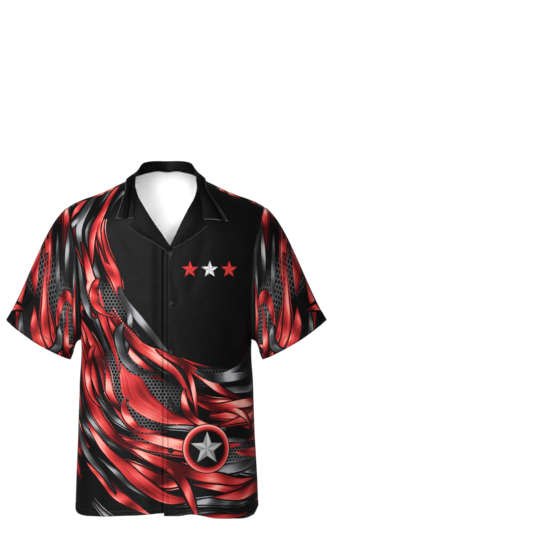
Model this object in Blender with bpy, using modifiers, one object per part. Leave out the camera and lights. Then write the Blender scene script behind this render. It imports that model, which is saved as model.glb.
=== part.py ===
"""A short-sleeved bowling shirt with a camp collar, filled out as when worn and empty inside.

Metres, +Z up, the front faces -Y, and the origin is at the base of the neck, between the shoulders.
Every piece of cloth is a grid of points on the shirt's form, given its thickness by Solidify.
"""

from collections import namedtuple

import bmesh
import bpy
import numpy as np
from mathutils import Vector

# Cloth
WALL = 0.0012
SEAM_GAP = 0.0005
LAYER = 0.0025  # from one cloth's middle to that of the next one lying on it

# Form of the body
SECTION_POWER = 2.4  # 2 is an ellipse, more is squarer
SHOULDER_POWER = 2.2
SHOULDER_CLOSING = 0.12  # height over which the chest and back close to the ridge
SEAM_FORWARD = 0.034  # from the shoulder's ridge forward to its seam
NECK_HALF_WIDTH = 0.0665

# Lengths
UNDERARM_HEIGHT = -0.345
BREAK_HEIGHT = -0.1394  # where the fronts part into the V of the neck
FRONT_CORNER_HEIGHT = -0.706
BACK_HEM_HEIGHT = -0.718
BACK_CORNER_HEIGHT = -0.676
VENT_TOP_HEIGHT = -0.612
VENT_SPREAD = 0.004
SHOULDER_POINT = 0.2155

# Grid of each panel: rows from hem to underarm, to the break level and to the shoulder
ROWS_TO_UNDERARM = 12
ROWS_TO_BREAK = 8
ROWS_TO_SHOULDER = 8
FRONT_COLUMNS = 12
BACK_HALF_COLUMNS = 11
NECKLINE_COLUMNS = 4
ROWS_TO_NECKLINE = 12
SLEEVE_ROWS = 9

Section = namedtuple("Section", "height half_width front_depth back_depth")
SECTIONS = (
    Section(-0.760, 0.1998, 0.117, 0.110),
    Section(-0.650, 0.1975, 0.118, 0.109),
    Section(-0.540, 0.1932, 0.121, 0.108),
    Section(-0.440, 0.1902, 0.125, 0.110),
    Section(-0.345, 0.1872, 0.128, 0.115),
    Section(-0.250, 0.2120, 0.129, 0.120),
    Section(-0.150, 0.2320, 0.126, 0.123),
    Section(-0.055, 0.2500, 0.121, 0.121),
    Section(0.060, 0.2620, 0.118, 0.116),
)

Ridge = namedtuple("Ridge", "across height")
SHOULDER_RIDGE = (
    Ridge(0.000, 0.0430),
    Ridge(0.015, 0.0420),
    Ridge(0.045, 0.0290),
    Ridge(0.080, 0.0095),
    Ridge(0.100, 0.000),
    Ridge(0.134, -0.0165),
    Ridge(0.155, -0.0250),
    Ridge(0.185, -0.0355),
    Ridge(0.2035, -0.0440),
    Ridge(0.2180, -0.0530),
    Ridge(0.2500, -0.0880),
    Ridge(0.2700, -0.1200),
)

Armhole = namedtuple("Armhole", "height across")
ARMHOLE = (
    Armhole(-0.345, 0.1872),
    Armhole(-0.290, 0.1850),
    Armhole(-0.200, 0.1890),
    Armhole(-0.120, 0.1985),
    Armhole(-0.055, SHOULDER_POINT),
    Armhole(-0.030, 0.2200),
)

# Edge of each front from hem to neck, measured across from the middle towards its own side
Edge = namedtuple("Edge", "height across")
RIGHT_FRONT_EDGE = (
    Edge(-0.7600, -0.0277),
    Edge(-0.1900, -0.0277),
    Edge(-0.1683, -0.0277),
    Edge(-0.1526, -0.0227),
    Edge(-0.1394, -0.0117),
    Edge(-0.1172, 0.0030),
    Edge(-0.0849, 0.0256),
    Edge(-0.0587, 0.0422),
    Edge(-0.0314, 0.0581),
    Edge(-0.0080, 0.0656),
    Edge(0.010, NECK_HALF_WIDTH),
)
LEFT_FRONT_EDGE = (
    Edge(-0.7600, -0.0018),
    Edge(-0.1900, -0.0018),
    Edge(-0.1683, -0.0018),
    Edge(-0.1565, -0.0008),
    Edge(-0.1394, 0.0117),
    Edge(-0.1172, 0.0232),
    Edge(-0.0872, 0.0371),
    Edge(-0.0564, 0.0524),
    Edge(-0.0314, 0.0651),
    Edge(-0.0080, 0.0692),
    Edge(0.010, NECK_HALF_WIDTH),
)
# Hem of each front, measured across as its edge is, down to where it turns up into the side seam
Hem = namedtuple("Hem", "across height")
RIGHT_FRONT_HEM = (
    Hem(-0.0277, -0.7150),
    Hem(0.0060, -0.7153),
    Hem(0.0320, -0.7173),
    Hem(0.0580, -0.7197),
    Hem(0.0970, -0.7216),
    Hem(0.1360, -0.7240),
    Hem(0.1620, -0.7242),
    Hem(0.1755, -0.7238),
    Hem(0.1866, -0.7208),
    Hem(0.1930, -0.7160),
    Hem(0.1985, FRONT_CORNER_HEIGHT),
)
LEFT_FRONT_HEM = (
    Hem(-0.0018, -0.7212),
    Hem(0.0330, -0.7210),
    Hem(0.0590, -0.7178),
    Hem(0.0850, -0.7218),
    Hem(0.1000, -0.7255),
    Hem(0.1240, -0.7278),
    Hem(0.1500, -0.7290),
    Hem(0.1660, -0.7297),
    Hem(0.1780, -0.7288),
    Hem(0.1866, -0.7258),
    Hem(0.1935, -0.7205),
    Hem(0.1985, FRONT_CORNER_HEIGHT),
)
HEM_SHAPE_ROWS = 5  # the hem's shape fades out over this many rows
HEM_BEND = 8
UNDERLAP_SINK = 0.0022  # how far the right front dips under the left one
UNDERLAP_FROM = -0.030  # x where the dip starts
UNDERLAP_FULL = -0.012

# Soft folds of the body: a line in the front view, on the front (-1) or the back (1)
Fold = namedtuple("Fold", "side x_top z_top x_bottom z_bottom half_width depth")
BODY_FOLDS = (
    Fold(-1, -0.165, -0.300, -0.110, -0.470, 0.022, -0.0045),
    Fold(-1, 0.168, -0.310, 0.125, -0.450, 0.022, -0.0050),
    Fold(-1, -0.060, -0.560, -0.085, -0.730, 0.026, -0.0035),
    Fold(-1, 0.075, -0.500, 0.100, -0.730, 0.026, 0.0040),
    Fold(1, -0.160, -0.290, -0.090, -0.480, 0.026, -0.0050),
    Fold(1, 0.160, -0.290, 0.100, -0.500, 0.026, -0.0050),
    Fold(1, 0.010, -0.420, 0.020, -0.720, 0.040, -0.0040),
)
HEM_WAVES = 7
HEM_WAVE_DEPTH = 0.0028
HEM_WAVES_FROM = -0.50

# Collar from the middle of the back to the shoulder seam: neck seam, top of the roll, outer edge. over is
# the way over the shoulder's ridge, positive down the back and negative down the front
Collar = namedtuple("Collar", "neck_x neck_over roll_x roll_y roll_z edge_x edge_over edge_lift")
COLLAR_ROUND_NECK = (
    Collar(0.000, 0.0650, 0.0000, 0.0670, 0.0522, 0.0000, 0.0890, 0.0035),
    Collar(0.032, 0.0470, 0.0330, 0.0570, 0.0520, 0.0380, 0.0840, 0.0035),
    Collar(0.0545, 0.0260, 0.0535, 0.0370, 0.0463, 0.0660, 0.0600, 0.0035),
    Collar(0.0650, 0.0090, 0.0605, 0.0110, 0.0320, 0.0795, 0.0180, 0.0032),
    Collar(0.0665, -0.0340, 0.0612, -0.0300, 0.0202, 0.0845, -0.0340, 0.0055),
)
# Leaf of the collar on each front, from the top of the gorge seam down to the notch, in the front view
Leaf = namedtuple("Leaf", "gorge_x gorge_z edge_x edge_z loft")
RIGHT_LEAF = (
    Leaf(0.0646, -0.0159, 0.0862, -0.0179, 0.0030),
    Leaf(0.0640, -0.0422, 0.0930, -0.0441, 0.0040),
    Leaf(0.0651, -0.0780, 0.1039, -0.0795, 0.0020),
)
LEFT_LEAF = (
    Leaf(0.0702, -0.0159, 0.0900, -0.0169, 0.0030),
    Leaf(0.0778, -0.0442, 0.1078, -0.0432, 0.0045),
    Leaf(0.0831, -0.0809, 0.1356, -0.0849, 0.0020),
)
COLLAR_ROLL = 0.0032
LEAF_LIFT = 0.0030
COLLAR_CELLS_PER_HALF = 17
COLLAR_ACROSS = (0.0, 0.14, 0.28, 0.40, 0.47, 0.54, 0.64, 0.76, 0.88, 1.0)

# Turned-out lapels: the gorge edge from the roll line to the tip, then the outer edge back to the break
Point = namedtuple("Point", "x z")
RIGHT_LAPEL_GORGE = (
    Point(0.0645, -0.0128),
    Point(0.0632, -0.0422),
    Point(0.0636, -0.0795),
    Point(0.0767, -0.0957),
)
RIGHT_LAPEL_OUTER = (
    Point(-0.0031, -0.1482),
    Point(0.0253, -0.1300),
    Point(0.0581, -0.1112),
    Point(0.0767, -0.0957),
)
LEFT_LAPEL_GORGE = (
    Point(0.0694, -0.0128),
    Point(0.0763, -0.0442),
    Point(0.0821, -0.0819),
    Point(0.0935, -0.0937),
)
LEFT_LAPEL_OUTER = (
    Point(0.0188, -0.1428),
    Point(0.0356, -0.1351),
    Point(0.0748, -0.1094),
    Point(0.0935, -0.0937),
)
LAPEL_LOFT = 0.0022
LAPEL_CELLS = (11, 6)

# Sleeves
SLEEVE_OUTER_TIP = Point(0.3515, -0.2985)
SLEEVE_INNER_TIP = Point(0.2120, -0.3850)
SLEEVE_HEM_HALF_DEPTH = 0.048
SLEEVE_HEM_SAG = 0.007
SleeveFold = namedtuple("SleeveFold", "around_top along_top around_hem along_hem half_width depth")
SLEEVE_FOLDS = (
    SleeveFold(0.17, 0.05, 0.34, 0.85, 0.045, -0.0045),
    SleeveFold(0.28, 0.40, 0.25, 1.00, 0.050, 0.0035),
    SleeveFold(0.80, 0.10, 0.70, 0.90, 0.050, -0.0045),
)

# Buttons down the left front
BUTTON_X = 0.0131
FIRST_BUTTON_HEIGHT = -0.1545
BUTTON_PITCH = 0.1060
BUTTON_COUNT = 5
BUTTON_RADIUS = 0.0060
BUTTON_THICKNESS = 0.0026
BUTTON_RIM = 0.0012
BUTTON_DISH = 0.0007

# Colours: base colour and roughness
PRINTED = ((0.045, 0.010, 0.011, 1.0), 0.62)
PLAIN_BLACK = ((0.012, 0.012, 0.013, 1.0), 0.62)
BUTTON_GREY = ((0.030, 0.030, 0.033, 1.0), 0.30)


def curve_through(knots, values, at):
    """Smooth curve through a table: knots rising, values one number or one point a row."""
    knots = np.asarray(knots, float)
    values = np.asarray(values, float)
    slopes = np.gradient(values, knots, axis=0)
    at = np.clip(np.asarray(at, float), knots[0], knots[-1])
    i = np.clip(np.searchsorted(knots, at, side="right") - 1, 0, len(knots) - 2)
    span = knots[i + 1] - knots[i]
    t = (at - knots[i]) / span
    if values.ndim > 1:
        t = t[..., None]
        span = span[..., None]
    start = (2 * t**3 - 3 * t**2 + 1) * values[i] + (t**3 - 2 * t**2 + t) * span * slopes[i]
    end = (3 * t**2 - 2 * t**3) * values[i + 1] + (t**3 - t**2) * span * slopes[i + 1]
    return start + end


def column(rows, name):
    return [getattr(row, name) for row in rows]


def smooth_step(low, high, at):
    t = np.clip((at - low) / (high - low), 0, 1)
    return t * t * (3 - 2 * t)


def section(name, height):
    return curve_through(column(SECTIONS, "height"), column(SECTIONS, name), height)


def ridge_height(x):
    return curve_through(column(SHOULDER_RIDGE, "across"), column(SHOULDER_RIDGE, "height"), abs(x))


def edge_across(rows, height):
    return curve_through(column(rows, "height"), column(rows, "across"), height)


def form(turn, over, relief=True):
    """Points of the shirt's form. turn is 0 in the middle and a quarter turn at the side; over is the way
    from the shoulder's ridge, positive down the back and negative down the front."""
    way = np.abs(over)
    angle = np.clip(way / SHOULDER_CLOSING, 0, np.pi / 2)
    closed = np.sin(angle) ** (2 / SHOULDER_POWER)
    drop = SHOULDER_CLOSING * (1 - np.cos(angle) ** (2 / SHOULDER_POWER))
    drop = drop + np.maximum(way - SHOULDER_CLOSING * np.pi / 2, 0)
    share = np.sign(turn) * np.abs(np.sin(turn)) ** (2 / SECTION_POWER)
    x = 0.2 * share
    for _ in range(6):
        z = ridge_height(x) - drop
        x = section("half_width", z) * share
    depth = np.where(over < 0, -section("front_depth", z), section("back_depth", z))
    y = depth * np.abs(np.cos(turn)) ** (2 / SECTION_POWER) * closed
    points = np.stack([x, y, z], -1)
    return relieved(points) if relief else points


def turn_and_way(x, z):
    """Turn and way down from the ridge of the point of the form that lies at x and z."""
    share = np.clip(x / section("half_width", z), -1, 1)
    turn = np.sign(share) * np.arcsin(np.abs(share) ** (SECTION_POWER / 2))
    drop = np.maximum(ridge_height(x) - z, 0)
    angle = np.arccos((1 - np.minimum(drop / SHOULDER_CLOSING, 1)) ** (SHOULDER_POWER / 2))
    return turn, SHOULDER_CLOSING * angle + np.maximum(drop - SHOULDER_CLOSING, 0)


def outward(points):
    """Level direction away from the form at each point."""
    x, y, z = np.moveaxis(points, -1, 0)
    width = section("half_width", z)
    depth = np.where(y < 0, section("front_depth", z), section("back_depth", z))
    away = np.stack([x / width**2, y / depth**2, np.zeros_like(z)], -1)
    return away / np.maximum(np.linalg.norm(away, axis=-1, keepdims=True), 1e-9)


def fold_height(points):
    """How far the folds move each point out, or in where negative."""
    x, y, z = np.moveaxis(points, -1, 0)
    out = np.zeros_like(z)
    for fold in BODY_FOLDS:
        line = np.array([fold.x_bottom - fold.x_top, fold.z_bottom - fold.z_top])
        along = ((x - fold.x_top) * line[0] + (z - fold.z_top) * line[1]) / (line @ line)
        off_x = x - fold.x_top - np.clip(along, 0, 1) * line[0]
        off_z = z - fold.z_top - np.clip(along, 0, 1) * line[1]
        near = np.exp(-(off_x**2 + off_z**2) / fold.half_width**2)
        ends = smooth_step(-0.25, 0.3, along) * smooth_step(1.45, 0.9, along)
        facing = smooth_step(0.0, 0.03, fold.side * y)
        out = out + fold.depth * near * ends * facing
    round_body = np.arctan2(y / 0.12, x / 0.19)
    wave = np.cos(HEM_WAVES * round_body + 0.6) * smooth_step(HEM_WAVES_FROM, BACK_HEM_HEIGHT, z)
    return out + HEM_WAVE_DEPTH * wave


def relieved(points):
    return points + outward(points) * fold_height(points)[..., None]


def front_surface(x, z, lift):
    """Points at x and z on the front, lifted off the form along its normal."""
    step = 0.002

    def at(x, z):
        turn, way = turn_and_way(x, z)
        return form(turn, -way)

    normal = np.cross(at(x + step, z) - at(x - step, z), at(x, z + step) - at(x, z - step))
    normal = normal / np.linalg.norm(normal, axis=-1, keepdims=True)
    return at(x, z) + normal * np.asarray(lift)[..., None]


def material(name, look):
    colour, roughness = look
    made = bpy.data.materials.new(name)
    made.use_nodes = True
    made.diffuse_color = colour
    shader = made.node_tree.nodes["Principled BSDF"]
    shader.inputs["Base Color"].default_value = colour
    shader.inputs["Roughness"].default_value = roughness
    return made


def cloth(name, points, look, collection, closed=False):
    """One piece of cloth from a grid of points, [row][column], with its thickness from Solidify. A closed
    piece is a tube, whose last column lies on its first."""
    rows, columns = points.shape[:2]
    mesh = bmesh.new()
    bmesh.ops.create_grid(mesh, x_segments=columns - 1, y_segments=rows - 1, size=1)
    for vertex, place in zip(mesh.verts, points.reshape(-1, 3)):
        vertex.co = place
    if closed:
        bmesh.ops.remove_doubles(mesh, verts=mesh.verts, dist=1e-5)
    for face in mesh.faces:
        face.smooth = True
    data = bpy.data.meshes.new(name)
    mesh.to_mesh(data)
    mesh.free()
    data.materials.append(look)
    piece = bpy.data.objects.new(name, data)
    collection.objects.link(piece)
    thickness = piece.modifiers.new("Thickness", "SOLIDIFY")
    thickness.thickness = WALL
    thickness.offset = 0
    return piece


def even_row(side, turn_ends, over_ends, level, bend, columns, hem=(), hem_share=0.0):
    """One row of a panel on the right (-1) or the left (1) from its inner to its outer edge, in even steps.
    level 1 runs it at even heights and 0 at even ways from the ridge. bend above 1 holds the row back from
    the outer edge's height till near that edge. hem_share is how far the row takes on the hem's shape."""
    share = np.linspace(0, 1, 121)
    turn = turn_ends[0] + (turn_ends[1] - turn_ends[0]) * share
    over = over_ends[0] + (over_ends[1] - over_ends[0]) * share
    ends = form(side * np.array(turn_ends), np.array(over_ends), relief=False)
    height = ends[0, 2] + (ends[1, 2] - ends[0, 2]) * share**bend
    across = section("half_width", height) * np.sign(turn) * np.abs(np.sin(turn)) ** (2 / SECTION_POWER)
    if hem_share > 0:
        height = height + (edge_height(hem, across) - height_of_plain_hem(hem, share)) * hem_share
    level_over = np.sign(over_ends[1]) * turn_and_way(across, height)[1]
    over = over + (level_over - over) * level
    steps = np.linalg.norm(np.diff(form(side * turn, over), axis=0), axis=1)
    run = np.concatenate([[0], np.cumsum(steps)])
    even = np.interp(np.linspace(0, run[-1], columns + 1), run, share)
    return form(side * np.interp(even, share, turn), np.interp(even, share, over))


def stations(hem, underarm, break_level, top):
    """Values down a panel's edge, one a row, through its four levels."""
    return np.concatenate([
        np.linspace(hem, underarm, ROWS_TO_UNDERARM + 1)[:-1],
        np.linspace(underarm, break_level, ROWS_TO_BREAK + 1)[:-1],
        np.linspace(break_level, top, ROWS_TO_SHOULDER + 1),
    ])


def outer_edge(corner_height, side):
    """Side seam and armhole of a panel on the front (-1) or the back (1), as turn and over for each row."""
    seam_way = SEAM_FORWARD - side * SEAM_GAP / 2
    hem_way, underarm_way, break_way = [
        turn_and_way(x, z)[1]
        for x, z in (
            (section("half_width", corner_height), corner_height),
            (section("half_width", UNDERARM_HEIGHT), UNDERARM_HEIGHT),
            (edge_across(ARMHOLE, BREAK_HEIGHT), BREAK_HEIGHT),
        )
    ]
    over = stations(side * hem_way, side * underarm_way, side * break_way, -seam_way)
    turns = []
    for way in np.abs(over):
        x = SHOULDER_POINT
        for _ in range(8):
            z = height_at(x, way)
            in_armhole = z > UNDERARM_HEIGHT + 1e-4
            x = edge_across(ARMHOLE, z) if in_armhole else section("half_width", z)
        if in_armhole:
            turns.append(turn_and_way(x - SEAM_GAP / 2, z)[0])
        else:
            depth = section("front_depth" if side < 0 else "back_depth", z)
            spread = SEAM_GAP / 2 + VENT_SPREAD * smooth_step(VENT_TOP_HEIGHT, corner_height, z)
            turns.append(np.arccos((spread / depth) ** (SECTION_POWER / 2)))
    return np.array(turns), over


def height_at(x, way):
    """Height of the form at x, a way down from the shoulder's ridge."""
    angle = np.clip(way / SHOULDER_CLOSING, 0, np.pi / 2)
    drop = SHOULDER_CLOSING * (1 - np.cos(angle) ** (2 / SHOULDER_POWER))
    return ridge_height(x) - drop - np.maximum(way - SHOULDER_CLOSING * np.pi / 2, 0)


def edge_height(rows, across):
    return curve_through(column(rows, "across"), column(rows, "height"), across)


def height_of_plain_hem(hem, share):
    """Height of the hem's row before it has its shape: level, then up to the corner."""
    start = hem[0].height
    return start + (hem[-1].height - start) * share**HEM_BEND


def front_panel(side, edge, hem):
    """Grid of the right (-1) or the left (1) front."""
    hem_way = turn_and_way(edge_across(edge, hem[0].height), hem[0].height)[1]
    underarm_way = turn_and_way(edge_across(edge, UNDERARM_HEIGHT), UNDERARM_HEIGHT)[1]
    break_way = turn_and_way(edge_across(edge, BREAK_HEIGHT), BREAK_HEIGHT)[1]
    inner_over = stations(-hem_way, -underarm_way, -break_way, -SEAM_FORWARD - SEAM_GAP / 2)
    outer_turn, outer_over = outer_edge(FRONT_CORNER_HEIGHT, -1)
    rows = []
    for k, over in enumerate(inner_over):
        x = 0.0
        for _ in range(6):
            x = edge_across(edge, height_at(x, abs(over)))
        turn = turn_and_way(x, height_at(x, abs(over)))[0]
        near_hem = smooth_step(HEM_SHAPE_ROWS, 0, k)
        bend = 1 + (HEM_BEND - 1) * near_hem
        level = smooth_step(len(inner_over) - 1, ROWS_TO_UNDERARM, k)
        ends = (turn, outer_turn[k]), (over, outer_over[k])
        rows.append(even_row(side, *ends, level, bend, FRONT_COLUMNS, hem, near_hem))
    return np.array(rows)


def back_panel():
    """Grid of the back, from the right side seam to the left one."""
    return np.concatenate([back_half(-1)[:, :0:-1], back_half(1)], axis=1)


def back_half(side):
    """Grid of the back from its middle to one side. Its last rows turn into the neckline and shoulder."""
    hem_way, underarm_way, break_way = [
        turn_and_way(0.0, z)[1] for z in (BACK_HEM_HEIGHT, UNDERARM_HEIGHT, BREAK_HEIGHT)
    ]
    middle_over = stations(hem_way, underarm_way, break_way, COLLAR_ROUND_NECK[0].neck_over)
    outer_turn, outer_over = outer_edge(BACK_CORNER_HEIGHT, 1)
    below = len(middle_over) - 1 - ROWS_TO_NECKLINE
    rows = []
    for k in range(below + 1):
        bend = 1 + smooth_step(ROWS_TO_UNDERARM, 0, k)
        ends = (0.0, outer_turn[k]), (middle_over[k], outer_over[k])
        rows.append(even_row(side, *ends, 1.0, bend, BACK_HALF_COLUMNS))
    low_turn, low_over = turn_and_way(rows[-1][:, 0] * side, rows[-1][:, 2])
    top_turn, top_over = back_top_row(outer_turn[-1])
    for k in range(below + 1, len(middle_over)):
        share = (k - below) / ROWS_TO_NECKLINE
        turn = low_turn + (top_turn - low_turn) * share
        over = low_over + (top_over - low_over) * share
        turn[-1], over[-1] = outer_turn[k], outer_over[k]
        rows.append(form(side * turn, over))
    return np.array(rows)


def back_top_row(last_turn):
    """Neckline from the middle of the back to the shoulder seam, then the shoulder seam to the armhole."""
    seam_over = -SEAM_FORWARD + SEAM_GAP / 2
    neck = np.linspace(0, len(COLLAR_ROUND_NECK) - 1, NECKLINE_COLUMNS + 1)
    knots = range(len(COLLAR_ROUND_NECK))
    neck_x = curve_through(knots, column(COLLAR_ROUND_NECK, "neck_x"), neck)
    neck_over = curve_through(knots, column(COLLAR_ROUND_NECK, "neck_over"), neck)
    neck_over[-1] = seam_over
    neck_turn = turn_and_way(neck_x, height_at(neck_x, abs(neck_over)))[0]
    seam_x = np.linspace(NECK_HALF_WIDTH, SHOULDER_POINT, BACK_HALF_COLUMNS - NECKLINE_COLUMNS + 1)[1:]
    seam_turn = turn_and_way(seam_x, height_at(seam_x, abs(seam_over)))[0]
    seam_turn[-1] = last_turn
    turn = np.concatenate([neck_turn, seam_turn])
    over = np.concatenate([neck_over, np.full(len(seam_x), seam_over)])
    return turn, over


def armhole_ring(side, front, back):
    """Armhole from the underarm up the front's edge, over the shoulder and down the back's edge."""
    back_edge = -1 if side > 0 else 0
    ring = np.concatenate([front[ROWS_TO_UNDERARM:, -1], back[ROWS_TO_UNDERARM:-1, back_edge][::-1]])
    ring[0] = ring[-1] = (ring[0] + ring[-1]) / 2
    return ring


def sleeve(side, front, back):
    """Tube of one sleeve from the armhole to its hem, with its seam at the underarm."""
    start = armhole_ring(side, front, back) * (side, 1, 1)
    ring = np.concatenate([[0], np.cumsum(np.linalg.norm(np.diff(start, axis=0), axis=1))])
    round_arm = 2 * np.pi * ring / ring[-1]
    inner, outer = (np.array([tip.x, 0.0, tip.z]) for tip in (SLEEVE_INNER_TIP, SLEEVE_OUTER_TIP))
    half_chord = (outer - inner) / 2
    down_arm = np.array([half_chord[2], 0, -half_chord[0]]) / np.linalg.norm(half_chord)
    high = (1 - np.cos(round_arm)) / 2
    leaving = np.array([0.045, 0, 0.012]) + high[:, None] * np.array([0.100, 0, -0.100])
    gap = SEAM_GAP + 0.0006 * (1 - high)
    start = start + leaving / np.linalg.norm(leaving, axis=1, keepdims=True) * gap[:, None]
    swing = np.sin(round_arm)
    end = (inner + outer) / 2 - np.cos(round_arm)[:, None] * half_chord
    end = end - swing[:, None] * (0, SLEEVE_HEM_HALF_DEPTH, 0)
    end = end + (swing + swing**2)[:, None] / 2 * SLEEVE_HEM_SAG * down_arm
    arriving = (0.055 + 0.215 * high)[:, None] * down_arm
    rows = []
    for t in np.linspace(0, 1, SLEEVE_ROWS + 1):
        row = (2 * t**3 - 3 * t**2 + 1) * start + (t**3 - 2 * t**2 + t) * leaving
        rows.append(row + (3 * t**2 - 2 * t**3) * end + (t**3 - t**2) * arriving)
    points = sleeve_folded(np.array(rows), side)
    points[..., 0] *= side
    return points if side > 0 else points[:, ::-1]


def sleeve_folded(points, side):
    """The sleeve's points moved out or in by its folds, which differ a little from side to side."""
    rows, columns = points.shape[:2]
    along, around = np.meshgrid(np.linspace(0, 1, rows), np.linspace(0, 1, columns), indexing="ij")
    centre = points[:, :-1].mean(axis=1, keepdims=True)
    away = points - centre
    away = away / np.linalg.norm(away, axis=-1, keepdims=True)
    out = np.zeros_like(along)
    for fold in SLEEVE_FOLDS:
        share = np.clip((along - fold.along_top) / (fold.along_hem - fold.along_top), 0, 1)
        middle = fold.around_top + (fold.around_hem - fold.around_top) * share + 0.02 * side
        ends = smooth_step(fold.along_top - 0.1, fold.along_top + 0.3, along)
        ends = ends * smooth_step(fold.along_hem + 0.3, fold.along_hem - 0.1, along)
        out = out + fold.depth * ends * np.exp(-(((around - middle) / fold.half_width) ** 2))
    return points + away * (out * smooth_step(0, 0.2, along))[..., None]


def collar():
    """Grid of the collar, from the notch on the right front round the neck to the notch on the left one."""
    return np.concatenate([collar_half(-1, RIGHT_LEAF)[:0:-1], collar_half(1, LEFT_LEAF)], axis=0)


def collar_half(side, leaf_rows):
    """Sections of the collar from the middle of the back to one notch, each from the neck seam over the
    roll to the outer edge."""
    back = COLLAR_ROUND_NECK
    neck_x = column(back, "neck_x") + column(leaf_rows, "gorge_x")
    edge_x = column(back, "edge_x") + column(leaf_rows, "edge_x")
    neck_over = column(back, "neck_over") + [
        -turn_and_way(row.gorge_x, row.gorge_z)[1] for row in leaf_rows
    ]
    edge_over = column(back, "edge_over") + [
        -turn_and_way(row.edge_x, row.edge_z)[1] for row in leaf_rows
    ]
    roll = [(row.roll_x, row.roll_y, row.roll_z) for row in back]
    standing = [1.0] * (len(back) - 1) + [0.8] + [0.0] * len(leaf_rows)
    loft = [0.0] * len(back) + column(leaf_rows, "loft")
    lift = column(back, "edge_lift") + [LEAF_LIFT] * len(leaf_rows)
    knots = np.arange(len(neck_x))
    at = np.linspace(0, len(neck_x) - 1, COLLAR_CELLS_PER_HALF + 1)
    table = curve_through(knots, np.stack([neck_x, neck_over, edge_x, edge_over, loft, lift], -1), at)
    roll_top = curve_through(knots[: len(back)], roll, at) * (side, 1, 1)
    standing = smooth_step(0, 1, np.interp(at, knots, standing))
    return np.array([collar_section(side, *row) for row in zip(table, roll_top, standing)])


def collar_section(side, row, top, standing):
    """Points across the collar, from the neck seam up the stand, over the roll and down to the edge."""
    neck_x, neck_over, edge_x, edge_over, loft, lift = row
    across = np.array(COLLAR_ACROSS)
    x = side * (neck_x + (edge_x - neck_x) * across)
    over = neck_over + (edge_over - neck_over) * across
    turn = turn_and_way(x, height_at(x, np.abs(over)))[0]
    lying = lifted(turn, over, LEAF_LIFT + (lift - LEAF_LIFT) * across + loft * np.sin(np.pi * across))
    neck, edge = lying[0], lying[-1]
    away = edge - neck
    away[2] = 0
    away = away / np.linalg.norm(away)
    up = np.array([0.0, 0.0, 1.0])
    path = np.array([
        neck,
        neck + (top - neck) * 0.6 - away * COLLAR_ROLL * 0.2,
        top,
        top + away * COLLAR_ROLL * 1.4 - up * COLLAR_ROLL,
        (top + edge) / 2 + away * COLLAR_ROLL * 1.3,
        edge,
    ])
    steps = np.linalg.norm(np.diff(path, axis=0), axis=1)
    run = np.concatenate([[0], np.cumsum(steps)])
    rolled = curve_through(run, path, across * run[-1])
    return lying + (rolled - lying) * standing


def lifted(turn, over, lift):
    """Points of the form lifted off along its normal."""
    step = 0.002
    across = form(turn + step, over) - form(turn - step, over)
    along = form(turn, over + step) - form(turn, over - step)
    normal = np.cross(across, along)
    normal = normal / np.linalg.norm(normal, axis=-1, keepdims=True)
    return form(turn, over) + normal * lift[:, None]


def lapel(side, edge, gorge, outer):
    """Grid of one turned-out lapel, from the break up to the gorge, and from the roll line outward."""
    rows, columns = LAPEL_CELLS
    up = np.linspace(0, 1, rows + 1)
    roll_z = outer[0].z + 0.004 + (gorge[0].z - outer[0].z - 0.004) * up
    roll_x = edge_across(edge, roll_z) + SEAM_GAP
    rim = curve_through((0, 0.3, 0.75, 1), [(p.x, p.z) for p in outer], up)
    seam = curve_through((0, 0.3, 0.75, 1), [(p.x, p.z) for p in gorge], np.linspace(0, 1, columns + 1))
    points = []
    for k in range(rows + 1):
        t = np.linspace(0, 1, columns + 1)
        x = roll_x[k] + (rim[k, 0] - roll_x[k]) * t
        z = roll_z[k] + (rim[k, 1] - roll_z[k]) * t
        straight = np.stack([roll_x[-1] + (rim[-1, 0] - roll_x[-1]) * t,
                             roll_z[-1] + (rim[-1, 1] - roll_z[-1]) * t], -1)
        bow = (seam - straight) * up[k] ** 2
        lift = LAYER + LAPEL_LOFT * np.sin(np.pi * t) * np.sin(np.pi * up[k])
        points.append(front_surface(side * (x + bow[:, 0]), z + bow[:, 1], lift))
    points = np.array(points)
    return points if side > 0 else points[:, ::-1]


def button(name, height, look, collection):
    """A round button with a raised rim, lying on the left front."""
    mesh = bmesh.new()
    bmesh.ops.create_cone(
        mesh, cap_ends=True, segments=20, radius1=BUTTON_RADIUS, radius2=BUTTON_RADIUS, depth=BUTTON_THICKNESS
    )
    top = max(mesh.faces, key=lambda face: face.calc_center_median().z)
    bmesh.ops.inset_region(mesh, faces=[top], thickness=BUTTON_RIM)
    bmesh.ops.inset_region(mesh, faces=[top], thickness=BUTTON_RIM * 0.4)
    bmesh.ops.translate(mesh, verts=top.verts, vec=(0, 0, -BUTTON_DISH))
    data = bpy.data.meshes.new(name)
    mesh.to_mesh(data)
    mesh.free()
    data.materials.append(look)
    data.set_sharp_from_angle(angle=0.6)
    piece = bpy.data.objects.new(name, data)
    collection.objects.link(piece)
    x, z = np.array([BUTTON_X]), np.array([height])
    on_cloth = front_surface(x, z, [0.0])[0]
    above = front_surface(x, z, [1.0])[0] - on_cloth
    rest = WALL / 2 + 0.0004 + BUTTON_THICKNESS / 2
    piece.location = on_cloth + above * rest
    piece.rotation_mode = "QUATERNION"
    piece.rotation_quaternion = Vector(above).to_track_quat("Z", "Y")


def underlapped(points):
    """The right front's points, dipped where the left front lies over them."""
    sink = UNDERLAP_SINK * smooth_step(UNDERLAP_FROM, UNDERLAP_FULL, points[..., 0])
    return points - outward(points) * sink[..., None]


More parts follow.
